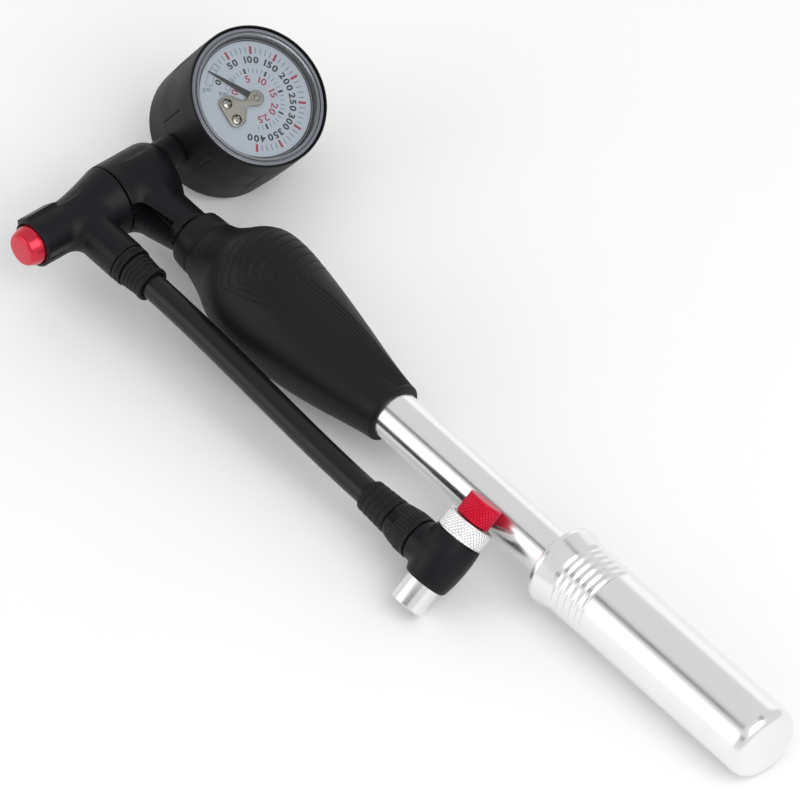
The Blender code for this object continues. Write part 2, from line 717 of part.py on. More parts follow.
POLISHED = material("polished_aluminium", (0.82, 0.83, 0.84), 0.18, 1.0)
STEEL = material("bright_steel", (0.62, 0.62, 0.60), 0.25, 1.0)
BRASS = material("brass", (0.72, 0.55, 0.28), 0.3, 1.0)
BLACK_PLASTIC = material("black_plastic", (0.02, 0.02, 0.022), 0.45)
RUBBER = material("black_rubber", (0.025, 0.025, 0.027), 0.7)
HOSE_RUBBER = material("hose_rubber", (0.02, 0.02, 0.022), 0.5)
RED = material("red_anodised", (0.65, 0.02, 0.06), 0.3, 0.8)
LENS = material("clear_lens", (0.95, 0.97, 1.0), 0.05, 0.0, 0.25)
DIAL = material("dial_white", (0.75, 0.8, 0.86), 0.5)
NEEDLE_BLACK = material("needle_black", (0.01, 0.01, 0.01), 0.4)

ALONG_X = (0, 90, 0)
ALONG_Y = (-90, 0, 0)
pump = empty("pump_frame", None, rotation=(REST_ROLL, REST_PITCH, 0))
barrel_axis = empty("barrel_axis", pump, rotation=ALONG_X)
handle_axis = empty("handle_axis", pump, rotation=ALONG_X)
cross_axis = empty("cross_axis", pump, rotation=ALONG_Y)
manifold_pivot = empty("manifold_pivot", pump)
manifold_axis = empty("manifold_axis", manifold_pivot, rotation=ALONG_Y)
button_axis = empty("button_axis", manifold_pivot, rotation=ALONG_Y)
stub_axis = empty("stub_axis", manifold_pivot, (0, STUB_Y, 0), ALONG_X)
swivel_axis = empty("swivel_axis", manifold_pivot, CHUCK, ALONG_X)
chuck_pivot = empty("chuck_pivot", manifold_pivot, CHUCK)
spindle_body_axis = empty("spindle_body_axis", chuck_pivot, rotation=(CHUCK_TILT, 0, 0))
spindle_axis = empty("spindle_axis", spindle_body_axis)
pin_axis = empty("pin_axis", spindle_axis)
knob_axis = empty("knob_axis", pin_axis)
gauge_axis = empty("gauge_axis", pump, GAUGE, (0, GAUGE_TILT, 0))
tilt = math.radians(GAUGE_TILT)
stem_place = (GAUGE[0] - STEM_DEPTH * math.sin(tilt), 0, GAUGE[2] - STEM_DEPTH * math.cos(tilt))
stem_axis = empty("stem_axis", pump, stem_place, ALONG_Y)
needle_axis = empty("needle_axis", gauge_axis)
needle_turn = empty("needle_turn", needle_axis, rotation=(0, 0, NEEDLE_ZERO))

make_barrel()
make_piston()
make_handle()
make_grip()
make_head()
make_check_valve()
make_manifold()
make_hose()
make_bleed_valve()
make_chuck()
make_gauge_body()
make_gauge_face()
stand_on_table()
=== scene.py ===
"""Looks of the shock suspension pump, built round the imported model's bodies.

Pieces are shaped in the pump's own frame, in millimetres: +X runs along the barrel towards the handle,
+Y along the cross tube towards the gauge, and +Z up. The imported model's joints say where that frame lies.
"""

import json
import math

import bmesh
import bpy
import numpy as np
from mathutils import Euler, Matrix, Vector
from mathutils.kdtree import KDTree


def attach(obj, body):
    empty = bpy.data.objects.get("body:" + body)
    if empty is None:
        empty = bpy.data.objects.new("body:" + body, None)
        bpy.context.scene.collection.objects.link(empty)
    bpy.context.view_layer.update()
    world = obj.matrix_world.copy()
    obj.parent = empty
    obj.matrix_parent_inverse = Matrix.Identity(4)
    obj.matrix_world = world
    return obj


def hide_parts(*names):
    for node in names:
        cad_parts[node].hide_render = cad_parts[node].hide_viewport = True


MM = 0.001

# Barrel and handle, along X.
BARREL_R = 7.5
BARREL_BORE_R = 6.3
BARREL_START = 27.0
BARREL_END = 250.0
ROD_R = 3.0
ROD_START = 43.6
ROD_END = 264.1
HANDLE_MOUTH = 182.7
HANDLE_END = 272.1
HANDLE_R = 11.6
HANDLE_INNER_R = 10.0
HANDLE_MOUTH_R = 8.6
HANDLE_WALL = 4.4
GROOVE_START = 191.5
GROOVE_PITCH = 2.5
GROOVE_COUNT = 5
GROOVE_SHAPE = ((0.1, -0.55, 0.35), (0.38, 0.1, 0.4), (0.62, 0.1, 0.4), (0.9, -0.55, 0.35))
GAP = 0.3

# Grip: distance along X, half-width across, height above and depth below the barrel's axis.
GRIP_SECTIONS = (
    (25.0, 8.4, 8.2, 8.4), (28.0, 8.8, 8.3, 9.0), (31.0, 9.0, 8.5, 9.6), (35.0, 9.9, 10.0, 10.6),
    (40.0, 11.8, 14.0, 11.6), (45.0, 14.2, 18.6, 12.2), (50.0, 16.0, 21.2, 12.8),
    (56.0, 17.0, 20.8, 13.6), (63.0, 17.0, 18.6, 14.4), (71.0, 16.0, 16.8, 15.0),
    (80.0, 14.6, 14.6, 14.8), (89.0, 13.0, 12.4, 13.6), (98.0, 11.2, 10.6, 11.8),
    (105.0, 9.9, 9.6, 10.3), (109.0, 9.3, 9.2, 9.5), (111.4, 9.1, 9.1, 9.1),
)
GRIP_CORNER = 2.25
GRIP_LINES = 9
GRIP_ROWS = 330
GRIP_COLUMNS = 400
LINE_START = 43.5
LINE_PITCH = 2.5
LINE_END = 109.8
LINE_DEPTH = 0.34
LINE_WIDTH = 0.3

# Head and hose manifold.
HEAD_R = 10.7
HEAD_START = -10.4
HEAD_END = 9.5
HEAD_ROUNDING = 5.5
STEM_COLLAR_R = 4.9
STEM_PLACE = (-2.4, 2.9)
NECK_END = 24.1
NECK_SECTIONS = (
    (0, 9.8, 0), (8, 8.9, -0.9), (13, 8.05, -1.2), (18, 7.5, -0.7), (22, 7.1, -0.3),
    (NECK_END, 6.9, 0),
)
NECK_SHIFT = (0.82, 0.58)
POCKET_LOW = (8.0, -14.0, 1.0)
POCKET_HIGH = (22.4, -3.6, 5.6)
SWIVEL_BORE_R = 6.3
MANIFOLD_START = -10.8
MANIFOLD_CONE_END = -26.5
MANIFOLD_TUBE_R = 7.25
MANIFOLD_END = -39.9
BUTTON_R = 6.0
BUTTON_END = -44.2
BUTTON_BASE = -36.5
PAD_ANGLE = 140
PANEL_ANGLE = -12
STUB_Y = -22.5
STUB_R = 6.25
STUB_END = 21.3
GLAND_END = 24.4

# Hose, from the manifold to the chuck.
HOSE_R = 3.95
HOSE_START = 12.3
HOSE_END = 147.0
HOSE_BEND_START = 34.0
HOSE_BEND_END = 127.0
HOSE_POINTS = 15
HOSE_BOOT_START = 128.2
HOSE_BOOT_END = 139.6
COLLAR_END = 149.8
COLLAR_WINDOW_ANGLE = 215.0
SLEEVE_R = HOSE_R + GAP

# Chuck: its spindle's axis runs through this centre, tilted about X.
CHUCK = (159.5, -23.5, -4.15)
CHUCK_TILT = -46.5
MOUTH_R = 5.4
MOUTH_BORE_R = 4.1
MOUTH_END = -16.4
MOUTH_FLOOR = -7.3
ELBOW_LOW = -8.2
ELBOW_HIGH = 7.8
RING_R = 7.45
RING_LOW = 8.1
RING_HIGH = 13.9
KNOB_R = 5.45
KNOB_LOW = 14.2
KNOB_HIGH = 21.0
KNURL_RISE = 2.4
KNURL_DEPTH = 0.5
THREAD_PITCH = 0.8
THREAD_TURNS = 9
THREAD_DEPTH = 0.35

# Gauge: the centre of its front lip, and its tilt about Y.
GAUGE = (7.6, 37.0, 20.2)
GAUGE_TILT = 30.0
BOOT_R = 21.4
BOOT_BACK_R = 20.4
BOOT_DEPTH = 32.5
CAVITY_R = 19.6
LIP_BORE_R = 20.9
LIP_FLOOR = -3.3
LENS_R = 20.6
LENS_TOP = -0.3
RIM_INNER_R = 18.4
CASE_R = 19.3
DIAL_R = 17.9
DIAL_TOP = -2.6
NEEDLE_TOP = -1.95
NEEDLE_LENGTH = 16.0
BRIDGE_TOP = -1.25
BRIDGE_REACH = 9.5
BRIDGE_SPREAD = 2.65

# Dial: angles run clockwise from the top, in degrees.
ZERO_ANGLE = -122.5
PSI_ANGLE = 0.6125
BAR_ANGLE = 8.883
LETTER_WIDTH = 1.18
PRINT_LOW = DIAL_TOP - 0.02
PRINT_HIGH = DIAL_TOP + 0.03

# Camera: how the pump's axes lie in the picture, and the picture's middle in those directions.
VIEW_RIGHT = Vector((0.655, 0.748, 0.093))
VIEW_UP = Vector((-0.586, 0.429, 0.6895))
VIEW_CENTRE = (75.0, -61.2)
VIEW_DISTANCE = 10500.0
VIEW_DEPTH = 62.0
VIEW_SCALE = 3.53
FRAME_PIXELS = 800
SENSOR_WIDTH = 36.0
VIEW_CLIP = 100.0

# Studio, in metres. Lights: share along the barrel, angle round it, distance, size and radiance.
LIGHTS = (
    ("key", 0.62, 100, 1.7, (1.2, 1.2), 2.5),
    ("band", -0.476, 163, 1.3, (0.9, 0.75), 1.3),
    ("side", -0.476, 20, 1.3, (0.9, 0.7), 0.36),
)
# Cards: share along the barrel, angle round it, the point they face, width and length.
CARDS = (
    ("strip_card", -0.476, 128, (0, 0, 0), 0.2, 0.8),
    ("end_card_1", 0.1, 76, (0.15, 0, 0), 0.2, 0.7),
    ("end_card_2", 0.2, 152, (0.15, 0, 0), 0.18, 0.7),
)
CARD_DISTANCE = 1.2
WORLD_STRENGTH = 0.76
FLOOR_SIZE = 12.0
FLOOR_LEVEL = -0.0003


def linked(name, data):
    """A new object in the scene."""
    result = bpy.data.objects.new(name, data)
    bpy.context.scene.collection.objects.link(result)
    return result


def joint(name):
    """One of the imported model's joints."""
    return next(entry for entry in frame["joints"] if entry["name"] == name)


def axes_matrix(origin, x_axis, y_axis):
    """The matrix of a frame from its origin and two of its axes."""
    x_axis = Vector(x_axis).normalized()
    z_axis = x_axis.cross(Vector(y_axis)).normalized()
    matrix = Matrix((x_axis, z_axis.cross(x_axis), z_axis)).transposed().to_4x4()
    matrix.translation = origin
    return matrix


def within(matrix, place=(0, 0, 0), rotation=(0, 0, 0)):
    """A frame placed inside another, in millimetres and degrees."""
    turn = Euler([math.radians(angle) for angle in rotation]).to_matrix().to_4x4()
    return matrix @ Matrix.Translation(Vector(place) * MM) @ turn


# Materials


def link(tree, source, target):
    """Join one shader socket to another."""
    tree.links.new(source, target)


def fill(node, **values):
    """Set a node's input sockets; a socket of several words is written with underscores."""
    for socket, value in values.items():
        node.inputs[socket.replace("_", " ")].default_value = value


def noise(tree, coordinates, size, detail=3.0, stretch=(1, 1, 1)):
    """A noise texture with features of about this size in millimetres, stretched along the piece's axes."""
    mapping = tree.nodes.new("ShaderNodeMapping")
    fill(mapping, Scale=[1 / axis for axis in stretch])
    texture = tree.nodes.new("ShaderNodeTexNoise")
    fill(texture, Scale=1 / (size * MM), Detail=detail)
    link(tree, coordinates, mapping.inputs["Vector"])
    link(tree, mapping.outputs["Vector"], texture.inputs["Vector"])
    return texture.outputs["Fac"]


def spread(tree, factor, low, high):
    """Map a noise onto a range."""
    ramp = tree.nodes.new("ShaderNodeMapRange")
    fill(ramp, From_Min=0.3, From_Max=0.7, To_Min=low, To_Max=high)
    link(tree, factor, ramp.inputs["Value"])
    return ramp.outputs["Result"]


def surface(
    name,
    colour,
    roughness,
    metallic=0.0,
    variation=0.08,
    patch=9.0,
    grain=0.25,
    grain_depth=0.01,
    stretch=(1, 1, 1),
    polish=0.04,
    coat=0.0,
    specular=0.5,
):
    """A material whose colour, gloss and fine relief all vary over the piece."""
    material = bpy.data.materials.new(name)
    material.use_nodes = True
    tree = material.node_tree
    shader = tree.nodes["Principled BSDF"]
    fill(shader, Metallic=metallic, Coat_Weight=coat, Coat_Roughness=0.12, Specular_IOR_Level=specular)
    coordinates = tree.nodes.new("ShaderNodeTexCoord").outputs["Object"]
    broad = noise(tree, coordinates, patch, 4.0, stretch)
    fine = noise(tree, coordinates, grain, 2.0, stretch)
    mix = tree.nodes.new("ShaderNodeMix")
    mix.data_type = "RGBA"
    mix.inputs["A"].default_value = [*(channel * (1 - variation) for channel in colour), 1]
    mix.inputs["B"].default_value = [*(min(channel * (1 + variation), 1) for channel in colour), 1]
    link(tree, broad, mix.inputs["Factor"])
    link(tree, mix.outputs["Result"], shader.inputs["Base Color"])
    link(tree, spread(tree, broad, roughness - polish, roughness + polish), shader.inputs["Roughness"])
    bump = tree.nodes.new("ShaderNodeBump")
    fill(bump, Strength=1.0, Distance=grain_depth * MM)
    link(tree, fine, bump.inputs["Height"])
    link(tree, bump.outputs["Normal"], shader.inputs["Normal"])
    return material


def clear_surface(name, tint, gloss):
    """A clear plastic: it lets light straight through, and reflects more at a slant."""
    material = bpy.data.materials.new(name)
    material.use_nodes = True
    tree = material.node_tree
    tree.nodes.remove(tree.nodes["Principled BSDF"])
    output = tree.nodes["Material Output"]
    through = tree.nodes.new("ShaderNodeBsdfTransparent")
    fill(through, Color=(*tint, 1))
    shine = tree.nodes.new("ShaderNodeBsdfGlossy")
    coordinates = tree.nodes.new("ShaderNodeTexCoord").outputs["Object"]
    link(tree, spread(tree, noise(tree, coordinates, 7.0), gloss, gloss + 0.05), shine.inputs["Roughness"])
    fresnel = tree.nodes.new("ShaderNodeFresnel")
    fill(fresnel, IOR=1.45)
    mix = tree.nodes.new("ShaderNodeMixShader")
    link(tree, fresnel.outputs["Fac"], mix.inputs["Fac"])
    link(tree, through.outputs["BSDF"], mix.inputs[1])
    link(tree, shine.outputs["BSDF"], mix.inputs[2])
    link(tree, mix.outputs["Shader"], output.inputs["Surface"])
    return material


# Shapes


def rounded(profile, closed=False, steps=4):
    """Round a profile's corners: a point's third number is its radius."""
    points = []
    count = len(profile)
    for index, (radius, height, *size) in enumerate(profile):
        at_end = not closed and index in (0, count - 1)
        if not size or at_end:
            points.append((radius, height))
            continue
        corner = Vector((radius, height))
        before = Vector(profile[index - 1][:2]) - corner
        after = Vector(profile[(index + 1) % count][:2]) - corner
        reach = size[0] / math.tan(before.angle(after) / 2)
        start = corner + before.normalized() * min(reach, 0.49 * before.length)
        end = corner + after.normalized() * min(reach, 0.49 * after.length)
        for step in range(steps + 1):
            share = step / steps
            blend = start.lerp(corner, share).lerp(corner.lerp(end, share), share)
            points.append(tuple(blend))
    return points


def resampled(profile, spacing):
    """Split a profile's long stretches, so that relief has points to stand on."""
    points = [profile[0]]
    for (r0, z0), (r1, z1) in zip(profile, profile[1:]):
        parts = max(1, round(math.hypot(r1 - r0, z1 - z0) / spacing))
        points += [(r0 + (r1 - r0) * i / parts, z0 + (z1 - z0) * i / parts) for i in range(1, parts + 1)]
    return points


def ring_faces(rows, columns, closed=False):
    """Quads between the rings of a tube of points."""
    below = np.arange(rows if closed else rows - 1)[:, None] * columns
    around = np.arange(columns)
    after = (around + 1) % columns
    above = (below + columns) % (rows * columns)
    quads = np.stack([below + around, below + after, above + after, above + around], axis=-1)
    return quads.reshape(-1, 4).tolist()


def turned(profile, closed=False, steps=96, relief=None):
    """Points and faces of a profile turned about Z. relief gives what to add to the radius."""
    profile = np.array(profile, dtype=float)
    angles = np.linspace(0, math.tau, steps, endpoint=False)
    radius = np.repeat(profile[:, :1], steps, axis=1)
    height = np.repeat(profile[:, 1:], steps, axis=1)
    if relief:
        radius = radius + relief(angles[None, :], height, radius)
    points = np.stack([radius * np.cos(angles), radius * np.sin(angles), height], axis=-1)
    return points.reshape(-1, 3), ring_faces(len(profile), steps, closed)


def turned_ring(profile, steps):
    """Points and faces of a closed, rounded profile turned about Z."""
    return turned(rounded(profile, closed=True), closed=True, steps=steps)


def smooth_min(first, second, size):
    """The lower of two distances, blended where they are within a size of each other."""
    share = np.clip(0.5 + 0.5 * (second - first) / size, 0, 1)
    return second * (1 - share) + first * share - size * share * (1 - share)


def smooth_max(first, second, size):
    """The higher of two distances, blended where they are within a size of each other."""
    return -smooth_min(-first, -second, size)


def box_field(points, low, high, rounding):
    """Distance from a box with rounded edges."""
    centre = (np.array(low) + np.array(high)) / 2
    half = (np.array(high) - np.array(low)) / 2 - rounding
    away = np.abs(points - centre) - half
    outside = np.linalg.norm(np.maximum(away, 0), axis=-1)
    return outside + np.minimum(away.max(axis=-1), 0) - rounding


def slope_of(field, points, reach=0.02):
    """The gradient of a distance field."""
    slope = np.empty_like(points)
    for axis in range(3):
        step = np.zeros(3)
        step[axis] = reach
        slope[:, axis] = (field(points + step) - field(points - step)) / (2 * reach)
    return slope


def skin(field, low, high, step, rounds=3):
    """Points and faces of the surface on which a distance field is zero."""
    ticks = [np.arange(start, end + step, step) for start, end in zip(low, high)]
    inside = field(np.stack(np.meshgrid(*ticks, indexing="ij"), axis=-1)) < 0
    wide, deep, tall = (size - 1 for size in inside.shape)
    count = sum(
        inside[i : i + wide, j : j + deep, k : k + tall].astype(int)
        for i in (0, 1)
        for j in (0, 1)
        for k in (0, 1)
    )
    crossed = (count > 0) & (count < 8)
    number = np.full(crossed.shape, -1)
    number[crossed] = np.arange(crossed.sum())
    points = (np.argwhere(crossed) + 0.5) * step + np.array(low)
    faces = []
    for axis in range(3):
        along = np.moveaxis(inside, axis, 0)
        cells = np.moveaxis(number, axis, 0)
        u, v, w = np.nonzero((along[:-1] != along[1:])[:, 1:-1, 1:-1])
        quad = [cells[u, v, w], cells[u, v + 1, w], cells[u, v + 1, w + 1], cells[u, v, w + 1]]
        faces.append(np.stack(quad, axis=-1))
    faces = np.concatenate(faces)
    for _ in range(rounds):
        points = settled(field, relaxed(points, faces), step)
    return settled(field, points, step), faces.tolist()


def relaxed(points, faces):
    """Move each point to the middle of its neighbours."""
    total = np.zeros_like(points)
    count = np.zeros(len(points))
    for first, second in ((0, 1), (1, 2), (2, 3), (3, 0)):
        for start, end in ((faces[:, first], faces[:, second]), (faces[:, second], faces[:, first])):
            np.add.at(total, start, points[end])
            np.add.at(count, start, 1)
    return total / count[:, None]


def settled(field, points, step):
    """Move points onto the surface on which a distance field is zero."""
    for _ in range(4):
        slope = slope_of(field, points)
        move = -field(points)[:, None] * slope / np.maximum((slope**2).sum(axis=1), 0.05)[:, None]
        length = np.linalg.norm(move, axis=1, keepdims=True)
        points = points + move * np.minimum(1, step / np.maximum(length, 1e-9))
    return points


def piece(name, shape, matrix, body, material, nodes=(), sharp=32):
    """Make a closed mesh from points in millimetres and let it ride on a body."""
    points, faces = shape
    mesh = bpy.data.meshes.new(name)
    mesh.from_pydata((np.asarray(points) * MM).tolist(), [], faces)
    work = bmesh.new()
    work.from_mesh(mesh)
    bmesh.ops.remove_doubles(work, verts=work.verts, dist=1e-7)
    bmesh.ops.recalc_face_normals(work, faces=work.faces)
    work.to_mesh(mesh)
    work.free()
    mesh.shade_smooth()
    mesh.set_sharp_from_angle(angle=math.radians(sharp))
    result = linked(name, mesh)
    mesh.materials.append(material)
    result.matrix_world = matrix
    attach(result, body)
    if nodes:
        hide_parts(*nodes)
    return result


def joined(shapes):
    """Several shapes as one."""
    points = []
    faces = []
    for shape_points, shape_faces in shapes:
        start = len(points)
        points += [tuple(point) for point in shape_points]
        faces += [[start + index for index in face] for face in shape_faces]
    return points, faces


def slab(outline, low, high):
    """A flat plate from an outline in XY."""
    count = len(outline)
    points = [(x, y, low) for x, y in outline] + [(x, y, high) for x, y in outline]
    faces = [list(range(count))[::-1], list(range(count, 2 * count))]
    faces += [[i, (i + 1) % count, count + (i + 1) % count, count + i] for i in range(count)]
    return points, faces


def arc(x, y, radius, start, end, count):
    """Points on an arc in XY, with angles in degrees from X."""
    angles = np.radians(np.linspace(start, end, count + 1))
    return [(x + radius * math.cos(angle), y + radius * math.sin(angle)) for angle in angles]


# Frames, camera and light


def make_camera():
    """The camera at the photograph's angle, far away with a long lens."""
    back = VIEW_RIGHT.cross(VIEW_UP)
    place = VIEW_RIGHT * VIEW_CENTRE[0] + VIEW_UP * VIEW_CENTRE[1] + back * (VIEW_DISTANCE + VIEW_DEPTH)
    camera = bpy.data.cameras.new("camera")
    camera.sensor_width = SENSOR_WIDTH
    camera.lens = VIEW_SCALE * VIEW_DISTANCE / FRAME_PIXELS * SENSOR_WIDTH
    camera.clip_end = VIEW_CLIP
    result = linked("camera", camera)
    turn = PUMP.to_3x3()
    result.matrix_world = axes_matrix(PUMP @ (place * MM), turn @ VIEW_RIGHT, turn @ VIEW_UP)
    bpy.context.scene.camera = result


def towards(x, angle):
    """A direction: its share along the barrel, and its angle round the barrel from +Y."""
    across = math.sqrt(1 - x * x)
    turn = math.radians(angle)
    return PUMP.to_3x3() @ Vector((x, across * math.cos(turn), across * math.sin(turn)))


def area_light(name, direction, distance, size, radiance):
    """A soft rectangular light of one brightness, which faces the pump."""
    data = bpy.data.lights.new(name, "AREA")
    data.shape = "RECTANGLE"
    data.size, data.size_y = size
    data.energy = radiance * math.pi * size[0] * size[1]
    result = linked(name, data)
    result.location = direction * distance
    result.rotation_euler = direction.to_track_quat("Z", "Y").to_euler()
    result.visible_camera = False


def plane(name, matrix, width, depth, material):
    """A flat rectangle for the studio."""
    mesh = bpy.data.meshes.new(name)
    x, y = width / 2, depth / 2
    corners = [(-x, -y, 0), (x, -y, 0), (x, y, 0), (-x, y, 0)]
    mesh.from_pydata(corners, [], [(0, 1, 2, 3)])
    mesh.materials.append(material)
    result = linked(name, mesh)
    result.matrix_world = matrix
    return result


def card(name, direction, aim, across, along, material):
    """A dark card along the barrel that faces a point, to be mirrored in the metal but not seen itself."""
    side = direction.cross(PUMP.to_3x3() @ Vector((1, 0, 0)))
    place = axes_matrix(Vector(aim) + direction * CARD_DISTANCE, side, direction.cross(side))
    result = plane(name, place, across, along, material)
    result.visible_camera = False


def make_studio():
    """A pale floor, a pale surround, soft lights, and dark cards that the polished metal mirrors."""
    paper = surface("floor_paper", (0.98, 0.98, 0.98), 0.7, variation=0.01, patch=90, grain_depth=0.0)
    plane("floor", Matrix.Translation((0, 0, FLOOR_LEVEL)), FLOOR_SIZE, FLOOR_SIZE, paper)
    world = bpy.data.worlds.new("studio")
    world.use_nodes = True
    fill(world.node_tree.nodes["Background"], Color=(1, 1, 1, 1), Strength=WORLD_STRENGTH)
    bpy.context.scene.world = world
    bpy.context.scene.view_settings.view_transform = "Standard"
    for name, share, angle, distance, size, radiance in LIGHTS:
        area_light(name, towards(share, angle), distance, size, radiance)
    dark = surface("dark_card", (0.1, 0.1, 0.11), 0.8, variation=0.02, patch=90, grain_depth=0.0)
    for name, share, angle, aim, across, along in CARDS:
        card(name, towards(share, angle), aim, across, along, dark)


# Barrel and handle


def make_barrel():
    """The polished barrel tube and the bush in its end."""
    profile = [
        (BARREL_R, BARREL_START), (BARREL_R, BARREL_END, 0.5), (BARREL_BORE_R, BARREL_END, 0.3),
        (BARREL_BORE_R, BARREL_START),
    ]
    shape = turned_ring(profile, 128)
    piece("barrel_tube_body", shape, BARREL, "pump_body", POLISHED, ["barrel_tube"])
    flange = BARREL_END + GAP
    profile = [
        (BARREL_R, flange + 1.7, 0.5), (BARREL_R, flange, 0.2), (BARREL_BORE_R - GAP, flange, 0.1),
        (BARREL_BORE_R - GAP, BARREL_END - 15), (ROD_R + GAP, BARREL_END - 15),
        (ROD_R + GAP, flange + 1.7, 0.5),
    ]
    shape = turned_ring(profile, 96)
    piece("guide_bush_body", shape, BARREL, "pump_body", PLASTIC, ["barrel_guide_bush"])


def handle_profile():
    """The handle's outside from the centre of its end to its mouth, and back up the inside."""
    groove_end = GROOVE_START + GROOVE_COUNT * GROOVE_PITCH
    points = [(0, HANDLE_END), (HANDLE_R, HANDLE_END, 4.6), (HANDLE_R, groove_end + 0.5, 0.3)]
    for index in range(GROOVE_COUNT):
        top = groove_end - index * GROOVE_PITCH
        for share, rise, radius in GROOVE_SHAPE:
            points.append((HANDLE_R + rise, top - share * GROOVE_PITCH, radius))
    points += [
        (HANDLE_R + 0.05, GROOVE_START - 0.9, 3.0), (HANDLE_R + 1.25, HANDLE_MOUTH + 2.3, 0.7),
        (HANDLE_R + 0.95, HANDLE_MOUTH + 0.8, 0.9), (HANDLE_R - 0.5, HANDLE_MOUTH, 0.8),
        (HANDLE_MOUTH_R, HANDLE_MOUTH, 0.9), (HANDLE_MOUTH_R, HANDLE_MOUTH + 1.6),
        (HANDLE_INNER_R, HANDLE_MOUTH + 1.6), (HANDLE_INNER_R, HANDLE_END - HANDLE_WALL),
        (0, HANDLE_END - HANDLE_WALL),
    ]
    return rounded(points, steps=8)


def make_handle():
    """The polished pull handle and the rod that it draws."""
    shape = turned(handle_profile(), steps=160)
    piece("handle_shell", shape, BARREL, "handle", HANDLE_METAL, ["handle_sleeve"])
    profile = [(0, ROD_END), (ROD_R, ROD_END, 0.3), (ROD_R, ROD_START, 0.3), (0, ROD_START)]
    shape = turned(rounded(profile), steps=64)
    piece("rod_body", shape, BARREL, "handle", STEEL, ["piston_rod"])


# Grip


def grip_radii(x):
    """The grip's half-width, height above and depth below the axis at a distance along the barrel."""
    table = np.array(GRIP_SECTIONS)
    tangents = np.gradient(table[:, 1:], table[:, 0], axis=0)
    index = np.clip(np.searchsorted(table[:, 0], x, side="right") - 1, 0, len(table) - 2)
    span = table[index + 1, 0] - table[index, 0]
    share = ((x - table[index, 0]) / span)[:, None]
    start = table[index, 1:]
    end = table[index + 1, 1:]
    out = tangents[index] * span[:, None]
    back = tangents[index + 1] * span[:, None]
    cubed = share**3
    squared = share**2
    return (
        (2 * cubed - 3 * squared + 1) * start
        + (cubed - 2 * squared + share) * out
        + (3 * squared - 2 * cubed) * end
        + (cubed - squared) * back
    )


def grip_points(x, angle):
    """Points on the grip's skin at distances along the barrel and angles round it from +Y."""
    sizes = grip_radii(x)
    cos, sin = np.cos(angle), np.sin(angle)
    swell = (np.abs(cos) ** GRIP_CORNER + np.abs(sin) ** GRIP_CORNER) ** (1 / GRIP_CORNER)
    height = np.where(sin > 0, sizes[:, 1], sizes[:, 2])
    return np.stack([x, sizes[:, 0] * cos / swell, height * sin / swell], axis=-1)


def grip_lines():
    """Points along the engraved lines, which cross the shoulder, then turn and run to the tube's end."""
    lines = []
    for index in range(GRIP_LINES):
        start = LINE_START + LINE_PITCH * index
        share = np.linspace(0, 1, 320)
        x = start + (LINE_END - start) * share**1.1
        peak = math.radians(158 - 9.5 * index)
        end = math.radians(80 - 5 * index)
        rise = np.sin(np.clip(share / 0.17, 0, 1) * math.pi / 2) ** 0.8
        fall = np.clip((share - 0.12) / 0.88, 0, 1)
        angle = peak * rise + (end - peak) * fall**0.85
        lines.append(grip_points(x, angle))
        lines.append(grip_points(x, -angle))
    return np.concatenate(lines)


def make_grip():
    """The rubber grip with its engraved lines."""
    rows, columns = GRIP_ROWS, GRIP_COLUMNS
    first, last = GRIP_SECTIONS[0][0], GRIP_SECTIONS[-1][0]
    x = np.linspace(first, last, rows)
    angle = np.linspace(0, math.tau, columns, endpoint=False)
    grid_x, grid_angle = np.meshgrid(x, angle, indexing="ij")
    points = grip_points(grid_x.ravel(), grid_angle.ravel())
    tree = KDTree(len(engraved := grip_lines()))
    for index, place in enumerate(engraved):
        tree.insert(place, index)
    tree.balance()
    near = np.array([tree.find(place)[2] for place in points])
    depth = LINE_DEPTH * np.exp(-((near / LINE_WIDTH) ** 2))
    axis = np.stack([points[:, 0], np.zeros(len(points)), np.zeros(len(points))], axis=-1)
    inward = axis - points
    inward /= np.linalg.norm(inward, axis=1, keepdims=True)
    bead = 0.45 * np.exp(-(((points[:, 0] - 31.2) / 0.55) ** 2))
    lip = 0.35 * np.clip(1 - (points[:, 0] - first) / 0.6, 0, 1) ** 2
    lip += 0.35 * np.clip(1 - (last - points[:, 0]) / 0.6, 0, 1) ** 2
    points = points + inward * (depth + bead + lip)[:, None]
    rings = [points]
    bore = BARREL_R + 0.05
    for end in (last, first):
        rings.append(np.stack([np.full(columns, end), bore * np.cos(angle), bore * np.sin(angle)], axis=-1))
    shape = np.concatenate(rings), ring_faces(rows + 2, columns, closed=True)
    piece("grip_skin", shape, PUMP, "pump_body", GRIP_RUBBER, ["grip_cover"], sharp=60)


# Head and manifold


def gauge_space(points):
    """Points of the pump's frame in the gauge's frame."""
    tilt = math.radians(GAUGE_TILT)
    away = points - np.array(GAUGE)
    x = away[..., 0] * math.cos(tilt) - away[..., 2] * math.sin(tilt)
    z = away[..., 0] * math.sin(tilt) + away[..., 2] * math.cos(tilt)
    return x, away[..., 1], z


